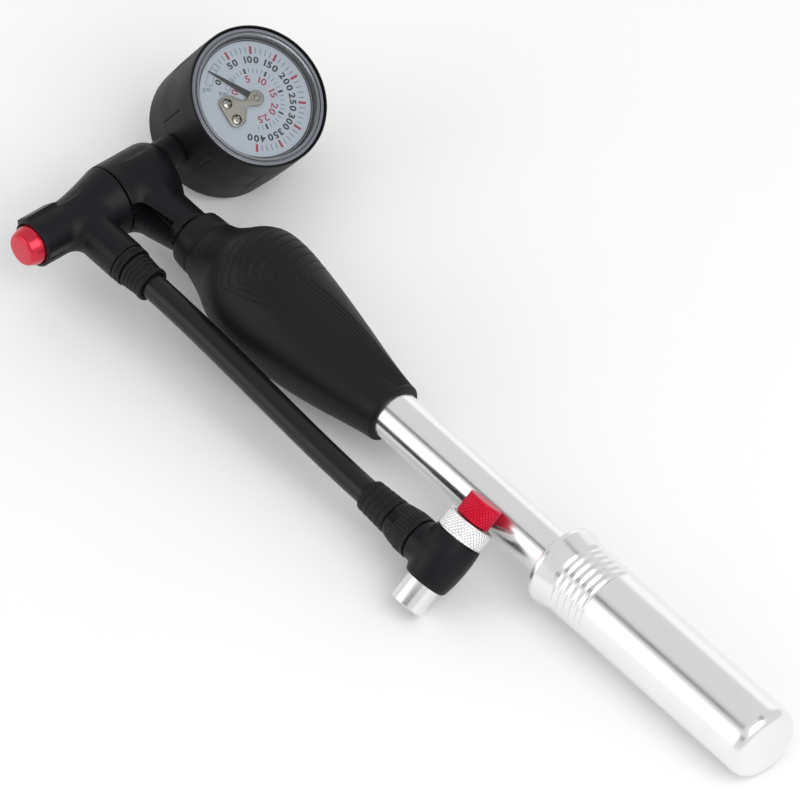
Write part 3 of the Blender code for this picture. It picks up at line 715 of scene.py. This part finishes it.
def head_field(points):
    """Distance from the head: cross tube, stem collar, neck with its rimmed pocket, spigot and bores."""
    x, y, z = np.moveaxis(points, -1, 0)
    tube = np.hypot(x, z)
    body = smooth_max(tube - HEAD_R, y - HEAD_END, HEAD_ROUNDING)
    collar = np.hypot(x - STEM_PLACE[0], z - STEM_PLACE[1]) - STEM_COLLAR_R
    body = smooth_min(body, np.maximum(collar, np.maximum(y - 22.0, 2.0 - y)), 1.0)
    table = np.array(NECK_SECTIONS)
    radius = np.interp(x, table[:, 0], table[:, 1])
    shift = np.interp(x, table[:, 0], table[:, 2])
    neck = np.hypot(y - NECK_SHIFT[0] * shift, z - NECK_SHIFT[1] * shift) - radius
    around = np.minimum(np.abs(z - POCKET_LOW[2] + 0.7) - 0.7, np.abs(z - POCKET_HIGH[2] - 0.7) - 0.7)
    rim = np.maximum(np.maximum(around, neck - 0.55), np.maximum(y, np.maximum(5.0 - x, x - 23.8)))
    neck = smooth_max(neck, x - NECK_END, 0.6)
    neck = np.maximum(neck, -x)
    body = smooth_min(body, neck, 3.2)
    body = smooth_min(body, rim, 0.35)
    body = smooth_max(body, -y + HEAD_START, 0.5)
    body = smooth_max(body, -box_field(points, POCKET_LOW, POCKET_HIGH, 0.4), 0.25)
    gx, gy, _ = gauge_space(points)
    body = smooth_max(body, BOOT_R + 0.08 - np.hypot(gx, gy), 0.1)
    spigot = np.maximum(np.hypot(y, z) - (BARREL_BORE_R - 0.4), np.maximum(x - 33, 20 - x))
    body = np.minimum(body, spigot)
    bore = smooth_max(tube - SWIVEL_BORE_R, y + 1.0, 0.4)
    return smooth_max(body, -bore, 0.3)


def manifold_radius(y):
    """The manifold's radius along the cross axis."""
    share = np.clip((MANIFOLD_START - y) / (MANIFOLD_START - MANIFOLD_CONE_END), 0, 1)
    return MANIFOLD_TUBE_R + (HEAD_R - MANIFOLD_TUBE_R) * (1 - share) ** 1.35


def facing(points, angle):
    """Points as seen along a direction round the cross axis: across it, along the axis and outwards."""
    turn = math.radians(angle)
    x, y, z = np.moveaxis(points, -1, 0)
    across = x * math.sin(turn) - z * math.cos(turn)
    out = x * math.cos(turn) + z * math.sin(turn)
    return np.stack([across, y, out], axis=-1)


def manifold_field(points):
    """Distance from the hose manifold: flared body, raised pad, side panel, stub, spigot and bores."""
    x, y, z = np.moveaxis(points, -1, 0)
    tube = np.hypot(x, z)
    body = tube - manifold_radius(y)
    pad = facing(points, PAD_ANGLE)
    raised = box_field(pad, (-3.2, -39.2, 0), (3.2, -28.4, MANIFOLD_TUBE_R + 0.55), 0.5)
    body = smooth_min(body, raised, 0.6)
    body = smooth_max(body, -box_field(pad, (-3.4, -28.3, 6.7), (3.4, -27.3, 12), 0.2), 0.3)
    panel = facing(points, PANEL_ANGLE)
    body = smooth_max(body, -box_field(panel, (-3.9, -38.9, 6.55), (3.9, -29.2, 12), 0.4), 0.25)
    stub = np.hypot(y - STUB_Y, z) - STUB_R
    stub = np.maximum(smooth_max(stub, x - STUB_END, 0.5), -x)
    body = smooth_min(body, stub, 3.4)
    body = smooth_max(body, y - MANIFOLD_START, 0.6)
    body = smooth_max(body, MANIFOLD_END - y, 0.9)
    spigot = np.maximum(tube - (SWIVEL_BORE_R - GAP), np.maximum(y + 1.5, MANIFOLD_START - 1 - y))
    body = np.minimum(body, spigot)
    recess = np.maximum(tube - (BUTTON_R + GAP), y + 33.0)
    body = smooth_max(body, -recess, 0.3)
    socket = np.maximum(np.hypot(y - STUB_Y, z) - SLEEVE_R, 12.0 - x)
    return smooth_max(body, -socket, 0.3)


def make_head():
    """The head and the hose manifold that swivels on it."""
    shape = skin(head_field, (-12, -11.5, -12), (34, 24, 12), 0.34)
    piece("head_shell", shape, PUMP, "pump_body", PLASTIC, ["head_body"])
    shape = skin(manifold_field, (-12, -41, -12), (22.5, 0, 12), 0.36)
    piece("manifold_shell", shape, PUMP, "manifold", PLASTIC, ["hose_manifold"])


def ribbed(count, depth, low, high, sharpness=1.0):
    """Relief of ribs that run along the axis between two heights."""

    def relief(angle, height, radius):
        wave = 0.5 + 0.5 * np.cos(count * angle)
        window = np.clip((height - low) / 0.5, 0, 1) * np.clip((high - height) / 0.5, 0, 1)
        return -depth * (1 - wave**sharpness) * window * (radius > 5.0)

    return relief


def make_fittings():
    """The ribbed gland ring and the rubber sleeve where the hose leaves the manifold."""
    low, high = STUB_END + GAP, GLAND_END
    profile = [(6.1, high, 0.4), (6.1, low, 0.2), (SLEEVE_R, low), (SLEEVE_R, high)]
    outside = resampled(rounded(profile, closed=True), 0.3)
    shape = turned(outside, closed=True, steps=384, relief=ribbed(64, 0.22, low + 0.6, high - 0.3))
    piece("gland_ring_body", shape, STUB, "manifold", PLASTIC, ["hose_gland_ring"])
    start = GLAND_END + GAP
    end = 32.7
    profile = [(SLEEVE_R, end, 0.1), (5.3, end, 0.4), (5.35, end - 1.5, 0.5), (4.75, end - 1.9, 0.3)]
    top = end - 2.2
    for index in range(4):
        swell = 5.15 + 0.14 * index
        profile += [(swell, top - 0.25, 0.5), (swell + 0.1, top - 1.15, 0.5), (swell - 0.3, top - 1.4, 0.2)]
        top -= 1.45
    profile += [(5.5, start, 0.2), (SLEEVE_R, start, 0.1)]
    shape = turned_ring(profile, 96)
    piece("head_sleeve", shape, STUB, "manifold", RUBBER, ["hose_boot_head"])


def make_button():
    """The domed red bleed button."""
    ceiling = BUTTON_END + 3.3
    profile = [
        (0, BUTTON_END), (4.7, BUTTON_END + 0.05, 1.2), (5.5, BUTTON_END + 1.8, 1.6),
        (BUTTON_R - 0.1, MANIFOLD_END - 0.8, 0.6), (BUTTON_R, MANIFOLD_END, 0.4),
        (BUTTON_R, BUTTON_BASE), (4.6, BUTTON_BASE), (4.6, ceiling), (0, ceiling),
    ]
    shape = turned(rounded(profile, steps=8), steps=96)
    piece("button_cap", shape, CROSS, "bleed_valve", RED, ["bleed_button"])


# Hose and chuck


def hose_point(x):
    """A point on the hose's centre line."""
    share = min(max((x - HOSE_BEND_START) / (HOSE_BEND_END - HOSE_BEND_START), 0.0), 1.0)
    ease = share * share * (3 - 2 * share)
    return Vector((x, STUB_Y + (CHUCK[1] - STUB_Y) * ease, CHUCK[2] * ease))


def make_hose():
    """The hose, a curved tube that ends in the chuck."""
    step = (HOSE_END - HOSE_START) / (HOSE_POINTS - 1)
    places = [PUMP @ (hose_point(HOSE_START + step * index) * MM) for index in range(HOSE_POINTS)]
    curve = bpy.data.curves.new("hose_tube", "CURVE")
    curve.dimensions = "3D"
    curve.bevel_depth = HOSE_R * MM
    curve.bevel_resolution = 12
    curve.use_fill_caps = True
    curve.resolution_u = 8
    spline = curve.splines.new("NURBS")
    spline.points.add(len(places) - 1)
    spline.order_u = 4
    spline.use_endpoint_u = True
    for point, place in zip(spline.points, places):
        point.co = (*place, 1.0)
    curve.materials.append(HOSE_RUBBER)
    hose = linked("hose_tube", curve)
    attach(hose, "manifold")
    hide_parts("hose")
    length = sum((end - start).length for start, end in zip(places, places[1:]))
    return hose, places[0], length


def make_hose_end():
    """The ribbed sleeve and the fluted collar on the hose's far end."""
    low = HOSE_BOOT_START - CHUCK[0]
    high = HOSE_BOOT_END - CHUCK[0]
    ribs = 5
    pitch = (high - low) / ribs
    profile = [(SLEEVE_R, high, 0.1), (5.2, high, 0.2)]
    for index in range(ribs):
        top = high - pitch * index
        swell = 5.6 - 0.13 * index
        profile += [(swell, top - 0.3, 0.5), (swell, top - pitch + 0.55, 0.5)]
        profile.append((swell - 0.45, top - pitch + 0.1, 0.3))
    profile += [(SLEEVE_R + 0.4, low, 0.3), (SLEEVE_R, low, 0.1)]
    shape = turned_ring(profile, 96)
    sleeve = piece("chuck_sleeve", shape, SWIVEL, "manifold", RUBBER, ["hose_boot_chuck"])
    start = high + GAP
    end = COLLAR_END - CHUCK[0]

    def collar_field(points):
        radius = np.hypot(points[..., 0], points[..., 1])
        angle = np.arctan2(points[..., 1], points[..., 0])
        height = points[..., 2]
        outer = np.interp(height, (start, start + 2.2, end - 4.0, end - 0.5), (5.6, 6.1, 6.75, 6.8))
        flutes = 0.2 * (0.5 + 0.5 * np.cos(38 * angle)) * np.clip((height - start - 1.2) / 0.6, 0, 1)
        flutes = flutes * np.clip((end - 0.9 - height) / 0.4, 0, 1)
        body = smooth_max(radius - outer + flutes, height - end, 0.4)
        body = smooth_max(body, start - height, 0.4)
        turn = math.radians(COLLAR_WINDOW_ANGLE)
        local = np.stack(
            [
                points[..., 0] * math.cos(turn) + points[..., 1] * math.sin(turn),
                points[..., 1] * math.cos(turn) - points[..., 0] * math.sin(turn),
                height,
            ],
            axis=-1,
        )
        window = box_field(local, (4.9, -1.5, start + 0.3), (9, 1.5, start + 3.5), 0.2)
        body = smooth_max(body, -window, 0.15)
        return smooth_max(body, SLEEVE_R - radius, 0.2)

    shape = skin(collar_field, (-8, -8, start - 0.8), (8, 8, end + 0.8), 0.19)
    collar = piece("chuck_collar_body", shape, SWIVEL, "manifold", PLASTIC, ["chuck_collar"])
    return [sleeve, collar]


def elbow_field(points):
    """Distance from the chuck's elbow: a barrel-shaped body with a neck to the collar."""
    x, y, z = np.moveaxis(points, -1, 0)
    radius = np.hypot(x, y)
    outer = np.interp(z, (-8.2, -7.2, -3.8, -0.3, 3.8, 7.8), (6.45, 6.9, 7.5, 7.8, 7.9, 7.6))
    body = smooth_max(radius - outer, z - ELBOW_HIGH, 0.25)
    body = smooth_max(body, ELBOW_LOW - z, 0.5)
    neck = smooth_max(np.hypot(y, z) - 6.55, COLLAR_END + GAP - CHUCK[0] - x, 0.5)
    neck = np.maximum(neck, x + 3)
    body = smooth_min(body, neck, 1.6)
    return smooth_max(body, MOUTH_R + GAP - radius, 0.2)


def knurl(count, low, high):
    """Relief of a diamond knurl between two heights."""

    def relief(angle, height, radius):
        forward = np.abs(np.sin(0.5 * count * angle + KNURL_RISE * height))
        backward = np.abs(np.sin(0.5 * count * angle - KNURL_RISE * height))
        cut = np.maximum((1 - forward) ** 2.5, (1 - backward) ** 2.5)
        window = np.clip((height - low) / 0.3, 0, 1) * np.clip((high - height) / 0.3, 0, 1)
        return -KNURL_DEPTH * cut * window * (radius > 4.9)

    return relief


def make_chuck():
    """The elbow, the spindle with ring grooves for a thread, its knurled ring, and the red knob."""
    shape = skin(elbow_field, (-11, -9, -9), (9, 9, 9), 0.28)
    elbow = piece("elbow_shell", shape, CHUCK_FRAME, "chuck", PLASTIC, ["chuck_elbow"])
    profile = [
        (MOUTH_R, RING_HIGH, 0.3), (MOUTH_R, MOUTH_END, 0.3), (MOUTH_BORE_R, MOUTH_END, 0.5),
    ]
    for index in range(THREAD_TURNS):
        low = MOUTH_END + 0.9 + THREAD_PITCH * index
        profile.append((MOUTH_BORE_R, low))
        profile.append((MOUTH_BORE_R + THREAD_DEPTH, low + 0.4 * THREAD_PITCH))
        profile.append((MOUTH_BORE_R, low + 0.8 * THREAD_PITCH))
    profile += [(MOUTH_BORE_R, MOUTH_FLOOR), (2.0, MOUTH_FLOOR), (2.0, RING_HIGH)]
    shape = turned_ring(profile, 96)
    spindle = piece("spindle_tube", shape, CHUCK_FRAME, "spindle", POLISHED, ["chuck_spindle"])
    profile = [
        (RING_R, RING_HIGH, 0.35), (RING_R, RING_LOW, 0.35), (MOUTH_R + GAP, RING_LOW),
        (MOUTH_R + GAP, RING_HIGH),
    ]
    outside = resampled(rounded(profile, closed=True), 0.15)
    diamonds = knurl(38, RING_LOW + 0.3, RING_HIGH - 0.3)
    shape = turned(outside, closed=True, steps=480, relief=diamonds)
    nodes = ["spindle_knurled_ring"]
    ring = piece("knurled_ring_body", shape, CHUCK_FRAME, "spindle", KNURLED_METAL, nodes, sharp=180)
    profile = [
        (0, KNOB_HIGH), (KNOB_R, KNOB_HIGH, 0.45), (KNOB_R, KNOB_LOW, 0.3), (1.6, KNOB_LOW),
        (1.6, KNOB_LOW + 4.3), (0, KNOB_LOW + 4.3),
    ]
    outside = resampled(rounded(profile), 0.15)
    shape = turned(outside, steps=400, relief=knurl(27, KNOB_LOW + 0.2, KNOB_HIGH - 0.4))
    knob = piece("knob_body", shape, CHUCK_FRAME, "knob", RED_KNURLED, ["chuck_knob"], sharp=180)
    return [elbow, spindle, ring, knob, frame["nodes"]["valve_washer"], frame["nodes"]["core_pin"]]


# Gauge


def boot_relief(angle, height, radius):
    """Fine creases that run along the rubber boot's side."""
    turn = angle % (math.tau / 8) - math.tau / 16
    across = turn * radius
    along = np.clip((-7.0 - height) / 2, 0, 1) * np.clip((height + 21) / 2, 0, 1)
    crease = np.exp(-((across / 0.35) ** 2)) + 0.25 * np.exp(-(((across - 1.2) / 1.6) ** 2))
    return -0.3 * crease * along * (radius > 20.0)


def make_gauge_body():
    """The rubber boot round the gauge, and its clear lens with a thick rim."""
    floor = -BOOT_DEPTH + 2.2
    profile = [
        (0, floor), (CAVITY_R, floor), (CAVITY_R, LIP_FLOOR), (LIP_BORE_R, LIP_FLOOR),
        (LIP_BORE_R, 0, 0.15), (BOOT_R, 0, 0.45), (BOOT_R, -8, 6.0), (BOOT_R - 0.3, -20, 6.0),
        (BOOT_BACK_R, -BOOT_DEPTH, 2.2), (0, -BOOT_DEPTH),
    ]
    outside = resampled(rounded(profile, steps=8), 0.7)
    shape = turned(outside, steps=560, relief=boot_relief)
    piece("boot_body", shape, GAUGE_FRAME, "pump_body", RUBBER, ["gauge_boot"])
    window_floor = LENS_TOP - 0.6
    seam = RIM_INNER_R - 0.05
    profile = [(0, LENS_TOP), (seam, LENS_TOP, 0.1), (seam, window_floor), (0, window_floor)]
    shape = turned(rounded(profile), steps=160)
    piece("lens_window", shape, GAUGE_FRAME, "pump_body", LENS, ["gauge_lens"])
    profile = [
        (RIM_INNER_R, LENS_TOP - 0.1, 0.1), (RIM_INNER_R + 0.75, LENS_TOP + 0.1, 0.25),
        (RIM_INNER_R + 0.85, LENS_TOP - 0.7, 0.1), (RIM_INNER_R + 1.1, LENS_TOP - 0.7, 0.1),
        (RIM_INNER_R + 1.25, LENS_TOP - 0.1, 0.2), (LENS_R, LENS_TOP - 0.2, 0.3),
        (LENS_R, LIP_FLOOR + GAP, 0.1), (CAVITY_R, LIP_FLOOR + GAP), (CAVITY_R, LENS_TOP - 1.5),
        (RIM_INNER_R, LENS_TOP - 1.5),
    ]
    shape = turned_ring(profile, 160)
    piece("lens_rim", shape, GAUGE_FRAME, "pump_body", LENS_RIM)
    # The bezel ring is near-black as painted shade: it stands for the dark gap between the dial and the lens rim.
    profile = [
        (CASE_R, -3.2, 0.1), (CASE_R, -2.0, 0.2), (DIAL_R + 0.35, -2.0, 0.2),
        (DIAL_R + GAP, -3.2, 0.1),
    ]
    shape = turned_ring(profile, 160)
    piece("bezel_ring", shape, GAUGE_FRAME, "pump_body", BEZEL_PAINTED_SHADE, ["gauge_bezel"])


def at_angle(radius, angle):
    """A point on the dial."""
    turn = math.radians(angle)
    return radius * math.sin(turn), radius * math.cos(turn)


def ticks(angles, inner, outer, width):
    """Thin printed bars that point at the dial's centre."""
    shapes = []
    for angle in angles:
        turn = math.radians(angle)
        side = (math.cos(turn) * width / 2, -math.sin(turn) * width / 2)
        near, far = at_angle(inner, angle), at_angle(outer, angle)
        outline = [
            (near[0] - side[0], near[1] - side[1]),
            (near[0] + side[0], near[1] + side[1]),
            (far[0] + side[0], far[1] + side[1]),
            (far[0] - side[0], far[1] - side[1]),
        ]
        shapes.append(slab(outline, PRINT_LOW, PRINT_HIGH))
    return shapes


def letter(text, height, bold):
    """Points, faces and width of one printed character, standing on the origin."""
    curve = bpy.data.curves.new("letter", "FONT")
    curve.body = text
    curve.size = height / 0.7 * MM
    curve.extrude = 0.015 * MM
    curve.offset = bold * MM
    curve.resolution_u = 4
    holder = linked("letter", curve)
    bpy.context.view_layer.update()
    mesh = bpy.data.meshes.new_from_object(holder.evaluated_get(bpy.context.evaluated_depsgraph_get()))
    points = np.array([vertex.co for vertex in mesh.vertices]) / MM
    points[:, 0] *= LETTER_WIDTH
    faces = [list(polygon.vertices) for polygon in mesh.polygons]
    bpy.data.objects.remove(holder)
    bpy.data.curves.remove(curve)
    bpy.data.meshes.remove(mesh)
    width = points[:, 0].max() - points[:, 0].min()
    points[:, 0] -= points[:, 0].min()
    return points, faces, width


def lettering(text, radius, angle, height, bold, spacing, turn=None):
    """Characters along an arc of the dial with their tops outwards, or along a line that leans by turn."""
    letters = [letter(character, height, bold) for character in text]
    total = sum(width for _, _, width in letters) + spacing * (len(letters) - 1)
    place = -total / 2
    shapes = []
    for points, faces, width in letters:
        middle = place + width / 2
        place += width + spacing
        if turn is None:
            lean = angle + math.degrees(middle / radius)
            origin = at_angle(radius, lean)
        else:
            lean = turn
            start = at_angle(radius, angle)
            step = math.radians(-turn)
            origin = (start[0] + middle * math.cos(step), start[1] + middle * math.sin(step))
        spin = math.radians(-lean)
        x = points[:, 0] - width / 2
        y = points[:, 1] - height / 2
        moved = np.stack(
            [
                origin[0] + x * math.cos(spin) - y * math.sin(spin),
                origin[1] + x * math.sin(spin) + y * math.cos(spin),
                points[:, 2] + DIAL_TOP + 0.015,
            ],
            axis=-1,
        )
        shapes.append((moved, faces))
    return shapes


def sector_line(inner, outer, start, end, width):
    """A thin printed outline round a stretch of a scale."""
    shapes = ticks((start, end), inner, outer, width)
    for radius in (inner, outer):
        rim = arc(0, 0, radius + width / 2, 90 - start, 90 - end, 8)
        rim += arc(0, 0, radius - width / 2, 90 - end, 90 - start, 8)
        shapes.append(slab(rim, PRINT_LOW, PRINT_HIGH))
    return shapes


def make_dial():
    """The dial with its printed scales and numbers."""
    rim = [(DIAL_R, DIAL_TOP - 0.4), (DIAL_R, DIAL_TOP, 0.05), (1.0, DIAL_TOP), (1.0, DIAL_TOP - 0.4)]
    shape = turned_ring(rim, 160)
    piece("dial_plate", shape, GAUGE_FRAME, "pump_body", DIAL, ["gauge_dial"])
    psi = [ZERO_ANGLE + PSI_ANGLE * value for value in range(0, 401, 10)]
    bar = [ZERO_ANGLE + BAR_ANGLE * value for value in range(0, 28)]
    red = ticks(psi[5::5], 13.5, 15.9, 0.72)
    grey = ticks([angle for index, angle in enumerate(psi) if index % 5], 13.8, 15.6, 0.24)
    grey += ticks([angle for index, angle in enumerate(bar) if index % 5], 7.9, 9.3, 0.2)
    grey += sector_line(13.6, 15.6, -137, -110, 0.16)
    grey += sector_line(7.9, 9.4, -136, -110, 0.14)
    grey += lettering("psi", 15.1, -142, 1.35, 0.02, 0.2, turn=-63)
    grey += lettering("bar", 9.7, -143, 1.35, 0.02, 0.2, turn=-63)
    black = ticks(bar[5::5], 7.8, 9.4, 0.62)
    black += lettering("0", 12.0, ZERO_ANGLE - 6.5, 1.75, 0.09, 0)
    red += lettering("0", 6.5, ZERO_ANGLE - 13, 1.9, 0.05, 0)
    for value in range(50, 401, 50):
        black += lettering(str(value), 11.9, ZERO_ANGLE + PSI_ANGLE * value, 1.9, 0.09, 0.42)
    for value in range(5, 26, 5):
        red += lettering(str(value), 6.2, ZERO_ANGLE + BAR_ANGLE * value, 2.05, 0.05, 0.45)
    line = [(17.35, PRINT_HIGH), (17.35, PRINT_LOW), (17.75, PRINT_LOW), (17.75, PRINT_HIGH)]
    for name, shapes, material in (
        ("dial_red_print", red, RED_INK),
        ("dial_grey_print", grey, GREY_INK),
        ("dial_black_print", black + [turned(line, closed=True, steps=160)], BLACK_INK),
    ):
        piece(name, joined(shapes), GAUGE_FRAME, "pump_body", material)


def bridge_outline(hub, foot, waist):
    """The bridge plate's outline: a boss over the hub, a drawn-in waist and round corners at the screws."""
    side = BRIDGE_SPREAD + foot
    points = arc(0, 0, hub, -20, 200, 20)
    left = [(-waist, -3.2), (-waist - 0.25, -4.6), (-side + 0.6, -7.0), (-side + 0.1, -8.2)]
    points += left
    points += arc(-BRIDGE_SPREAD, -BRIDGE_REACH, foot, 180, 270, 8)
    points += arc(BRIDGE_SPREAD, -BRIDGE_REACH, foot, 270, 360, 8)
    points += [(-x, y) for x, y in reversed(left)]
    return points


def domed_slab(outline, low, high, edge):
    """A plate whose top edge is rounded off."""
    flat = np.array(outline)
    after = np.roll(flat, -1, axis=0) - flat
    before = flat - np.roll(flat, 1, axis=0)
    after = after / np.linalg.norm(after, axis=1, keepdims=True)
    before = before / np.linalg.norm(before, axis=1, keepdims=True)
    along = after + before
    along /= np.linalg.norm(along, axis=1, keepdims=True)
    inward = np.stack([-along[:, 1], along[:, 0]], axis=-1)
    rings = [np.column_stack([flat, np.full(len(flat), low)])]
    for share in np.linspace(0, 1, 5):
        turn = share * math.pi / 2
        ring = flat + inward * edge * (1 - math.cos(turn))
        rings.append(np.column_stack([ring, np.full(len(flat), high - edge + edge * math.sin(turn))]))
    count = len(flat)
    faces = ring_faces(len(rings), count)
    faces.append(list(range(count))[::-1])
    faces.append([len(rings) * count - count + index for index in range(count)])
    return np.concatenate(rings), faces


def screw_field(points):
    """Distance from a small pan-head screw with a cross recess."""
    x, y, z = np.moveaxis(points, -1, 0)
    radius = np.hypot(x, y)
    ball = np.sqrt(radius**2 + (z + 2.6) ** 2) - 3.05
    head = smooth_max(smooth_max(radius - 1.55, ball, 0.15), -z - 0.35, 0.05)
    shank = np.maximum(radius - 0.95, np.maximum(z, -z - 1.3))
    slot = np.minimum(
        np.maximum(np.abs(x) - 0.24, np.abs(y) - 1.0),
        np.maximum(np.abs(y) - 0.24, np.abs(x) - 1.0),
    )
    slot = np.maximum(slot, -z - 0.02)
    return smooth_max(np.minimum(head, shank), -slot, 0.08)


def make_movement():
    """The needle, its hub and the bridge with its two screws."""
    left = [(-0.14, NEEDLE_LENGTH), (-1.0, 2.2), (-1.5, 0.6), (-1.2, -1.0), (-0.4, -1.7)]
    outline = [(0.14, NEEDLE_LENGTH)] + left + [(-x, y) for x, y in reversed(left[1:])]
    shape = domed_slab(outline, NEEDLE_TOP - 0.25, NEEDLE_TOP, 0.08)
    needle_frame = within(GAUGE_FRAME, rotation=(0, 0, -ZERO_ANGLE))
    piece("needle_blade", shape, needle_frame, "needle", NEEDLE_PAINT, ["gauge_needle"])
    plate = domed_slab(bridge_outline(2.35, 2.2, 1.15), BRIDGE_TOP - 0.4, BRIDGE_TOP, 0.18)
    piece("bridge_plate", plate, GAUGE_FRAME, "pump_body", NICKEL, ["gauge_bridge"])
    foot = BRIDGE_TOP - 0.1
    profile = [(0, BRIDGE_TOP + 0.28), (0.75, BRIDGE_TOP + 0.25, 0.2), (1.0, foot, 0.1), (0, foot)]
    shape = turned(rounded(profile), steps=40)
    piece("bridge_rivet", shape, GAUGE_FRAME, "pump_body", NICKEL)
    shape = skin(screw_field, (-2, -2, -1.6), (2, 2, 0.8), 0.09)
    for number, side in ((1, 1), (2, -1)):
        spot = within(GAUGE_FRAME, (side * BRIDGE_SPREAD, -BRIDGE_REACH, BRIDGE_TOP + 0.3), (0, 0, 25 * side))
        piece(f"screw_{number}", shape, spot, "pump_body", NICKEL, [f"bridge_screw_{number}"])


def finish_cad_nodes():
    """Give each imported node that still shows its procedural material."""
    by_slot = {
        "polished_aluminium": POLISHED,
        "bright_steel": STEEL,
        "brass": BRASS,
        "black_plastic": PLASTIC,
        "black_rubber": RUBBER,
        "hose_rubber": HOSE_RUBBER,
        "red_anodised": RED,
        "clear_lens": LENS,
        "dial_white": DIAL,
        "needle_black": NEEDLE_PAINT,
    }
    for entry in frame["record"]["subparts"]:
        node = frame["nodes"][entry["node"]]
        for slot in node.material_slots:
            slot.material = by_slot[entry["material_slot"]]


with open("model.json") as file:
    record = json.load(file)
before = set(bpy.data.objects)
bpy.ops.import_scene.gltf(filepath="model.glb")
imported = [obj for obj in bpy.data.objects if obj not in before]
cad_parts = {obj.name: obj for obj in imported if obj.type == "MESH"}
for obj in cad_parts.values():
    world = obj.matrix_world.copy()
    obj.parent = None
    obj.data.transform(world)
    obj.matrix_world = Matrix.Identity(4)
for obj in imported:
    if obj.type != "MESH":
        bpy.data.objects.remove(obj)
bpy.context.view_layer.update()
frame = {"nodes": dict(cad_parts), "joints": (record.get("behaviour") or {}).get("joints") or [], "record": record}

PUMP = axes_matrix(
    Vector(joint("manifold_swivel")["pos_m"]),
    joint("handle_stroke")["axis"],
    -Vector(joint("manifold_swivel")["axis"]),
)
BARREL = within(PUMP, rotation=(0, 90, 0))
CROSS = within(PUMP, rotation=(-90, 0, 0))
STUB = within(PUMP, (0, STUB_Y, 0), (0, 90, 0))
SWIVEL = within(PUMP, CHUCK, (0, 90, 0))
CHUCK_FRAME = within(PUMP, CHUCK, (CHUCK_TILT, 0, 0))
GAUGE_FRAME = within(PUMP, GAUGE, (0, GAUGE_TILT, 0))

LATHE = (40, 40, 1)
POLISHED = surface("polished_aluminium", (0.85, 0.855, 0.855), 0.21, 1.0, 0.03, 20, 0.35, 0.004, LATHE)
HANDLE_METAL = surface("handle_aluminium", (0.86, 0.865, 0.865), 0.23, 1.0, 0.03, 20, 0.35, 0.003, LATHE)
KNURLED_METAL = surface("knurled_aluminium", (0.9, 0.9, 0.91), 0.3, 1.0, 0.04, 3, 0.2, 0.004)
STEEL = surface("bright_steel", (0.62, 0.62, 0.6), 0.24, 1.0, 0.05, 8, 0.2, 0.004, LATHE)
NICKEL = surface("nickel_plate", (0.5, 0.46, 0.4), 0.24, 1.0, 0.06, 2, 0.15, 0.004)
BRASS = surface("brass", (0.72, 0.52, 0.25), 0.3, 1.0, 0.08, 6, 0.2, 0.005)
# Near-black bezel colour: painted shade for the gap between the dial and the lens rim, not the bezel's own finish.
BEZEL_PAINTED_SHADE = surface("bezel_painted_shade", (0.03, 0.03, 0.035), 0.35, 0.0, 0.08, 6, 0.2, 0.004)
DULL = {"polish": 0.05, "specular": 0.18}
SATIN = {"polish": 0.08, "specular": 0.27}
PLASTIC = surface("moulded_plastic", (0.007, 0.007, 0.009), 0.4, 0.0, 0.15, 7, 0.16, 0.006, **DULL)
RUBBER = surface("moulded_rubber", (0.008, 0.008, 0.0095), 0.5, 0.0, 0.15, 9, 0.14, 0.01, **DULL)
GRIP_RUBBER = surface("grip_rubber", (0.008, 0.008, 0.009), 0.46, 0.0, 0.12, 12, 0.12, 0.009, specular=0.18)
HOSE_RUBBER = surface("hose_rubber", (0.007, 0.0075, 0.009), 0.34, 0.0, 0.2, 5, 0.5, 0.02, **SATIN)
RED = surface("red_anodised", (0.62, 0.015, 0.04), 0.26, 0.75, 0.06, 5, 0.15, 0.003, coat=0.4)
RED_KNURLED = surface("red_knurled", (0.66, 0.012, 0.045), 0.32, 0.8, 0.08, 3, 0.15, 0.004)
DIAL = surface("dial_paint", (0.66, 0.7, 0.78), 0.45, 0.0, 0.015, 8, 0.1, 0.001, coat=0.2)
RED_INK = surface("red_ink", (0.5, 0.02, 0.07), 0.5, 0.0, 0.05, 3, 0.1, 0.001)
GREY_INK = surface("grey_ink", (0.2, 0.23, 0.26), 0.5, 0.0, 0.05, 3, 0.1, 0.001)
BLACK_INK = surface("black_ink", (0.02, 0.022, 0.03), 0.5, 0.0, 0.05, 3, 0.1, 0.001)
NEEDLE_PAINT = surface("needle_paint", (0.015, 0.015, 0.017), 0.35, 0.0, 0.05, 3, 0.1, 0.001)
LENS = clear_surface("clear_plastic", (0.95, 0.965, 0.97), 0.03)
LENS_RIM = surface("lens_rim", (0.2, 0.215, 0.24), 0.14, 0.4, 0.06, 12, 0.2, 0.002, coat=0.6)

finish_cad_nodes()
make_camera()
make_studio()
hose, hose_exit, hose_length = make_hose()
on_hose = make_hose_end() + make_chuck()
make_barrel()
make_handle()
make_grip()
make_head()
make_fittings()
make_button()
make_gauge_body()
make_dial()
make_movement()
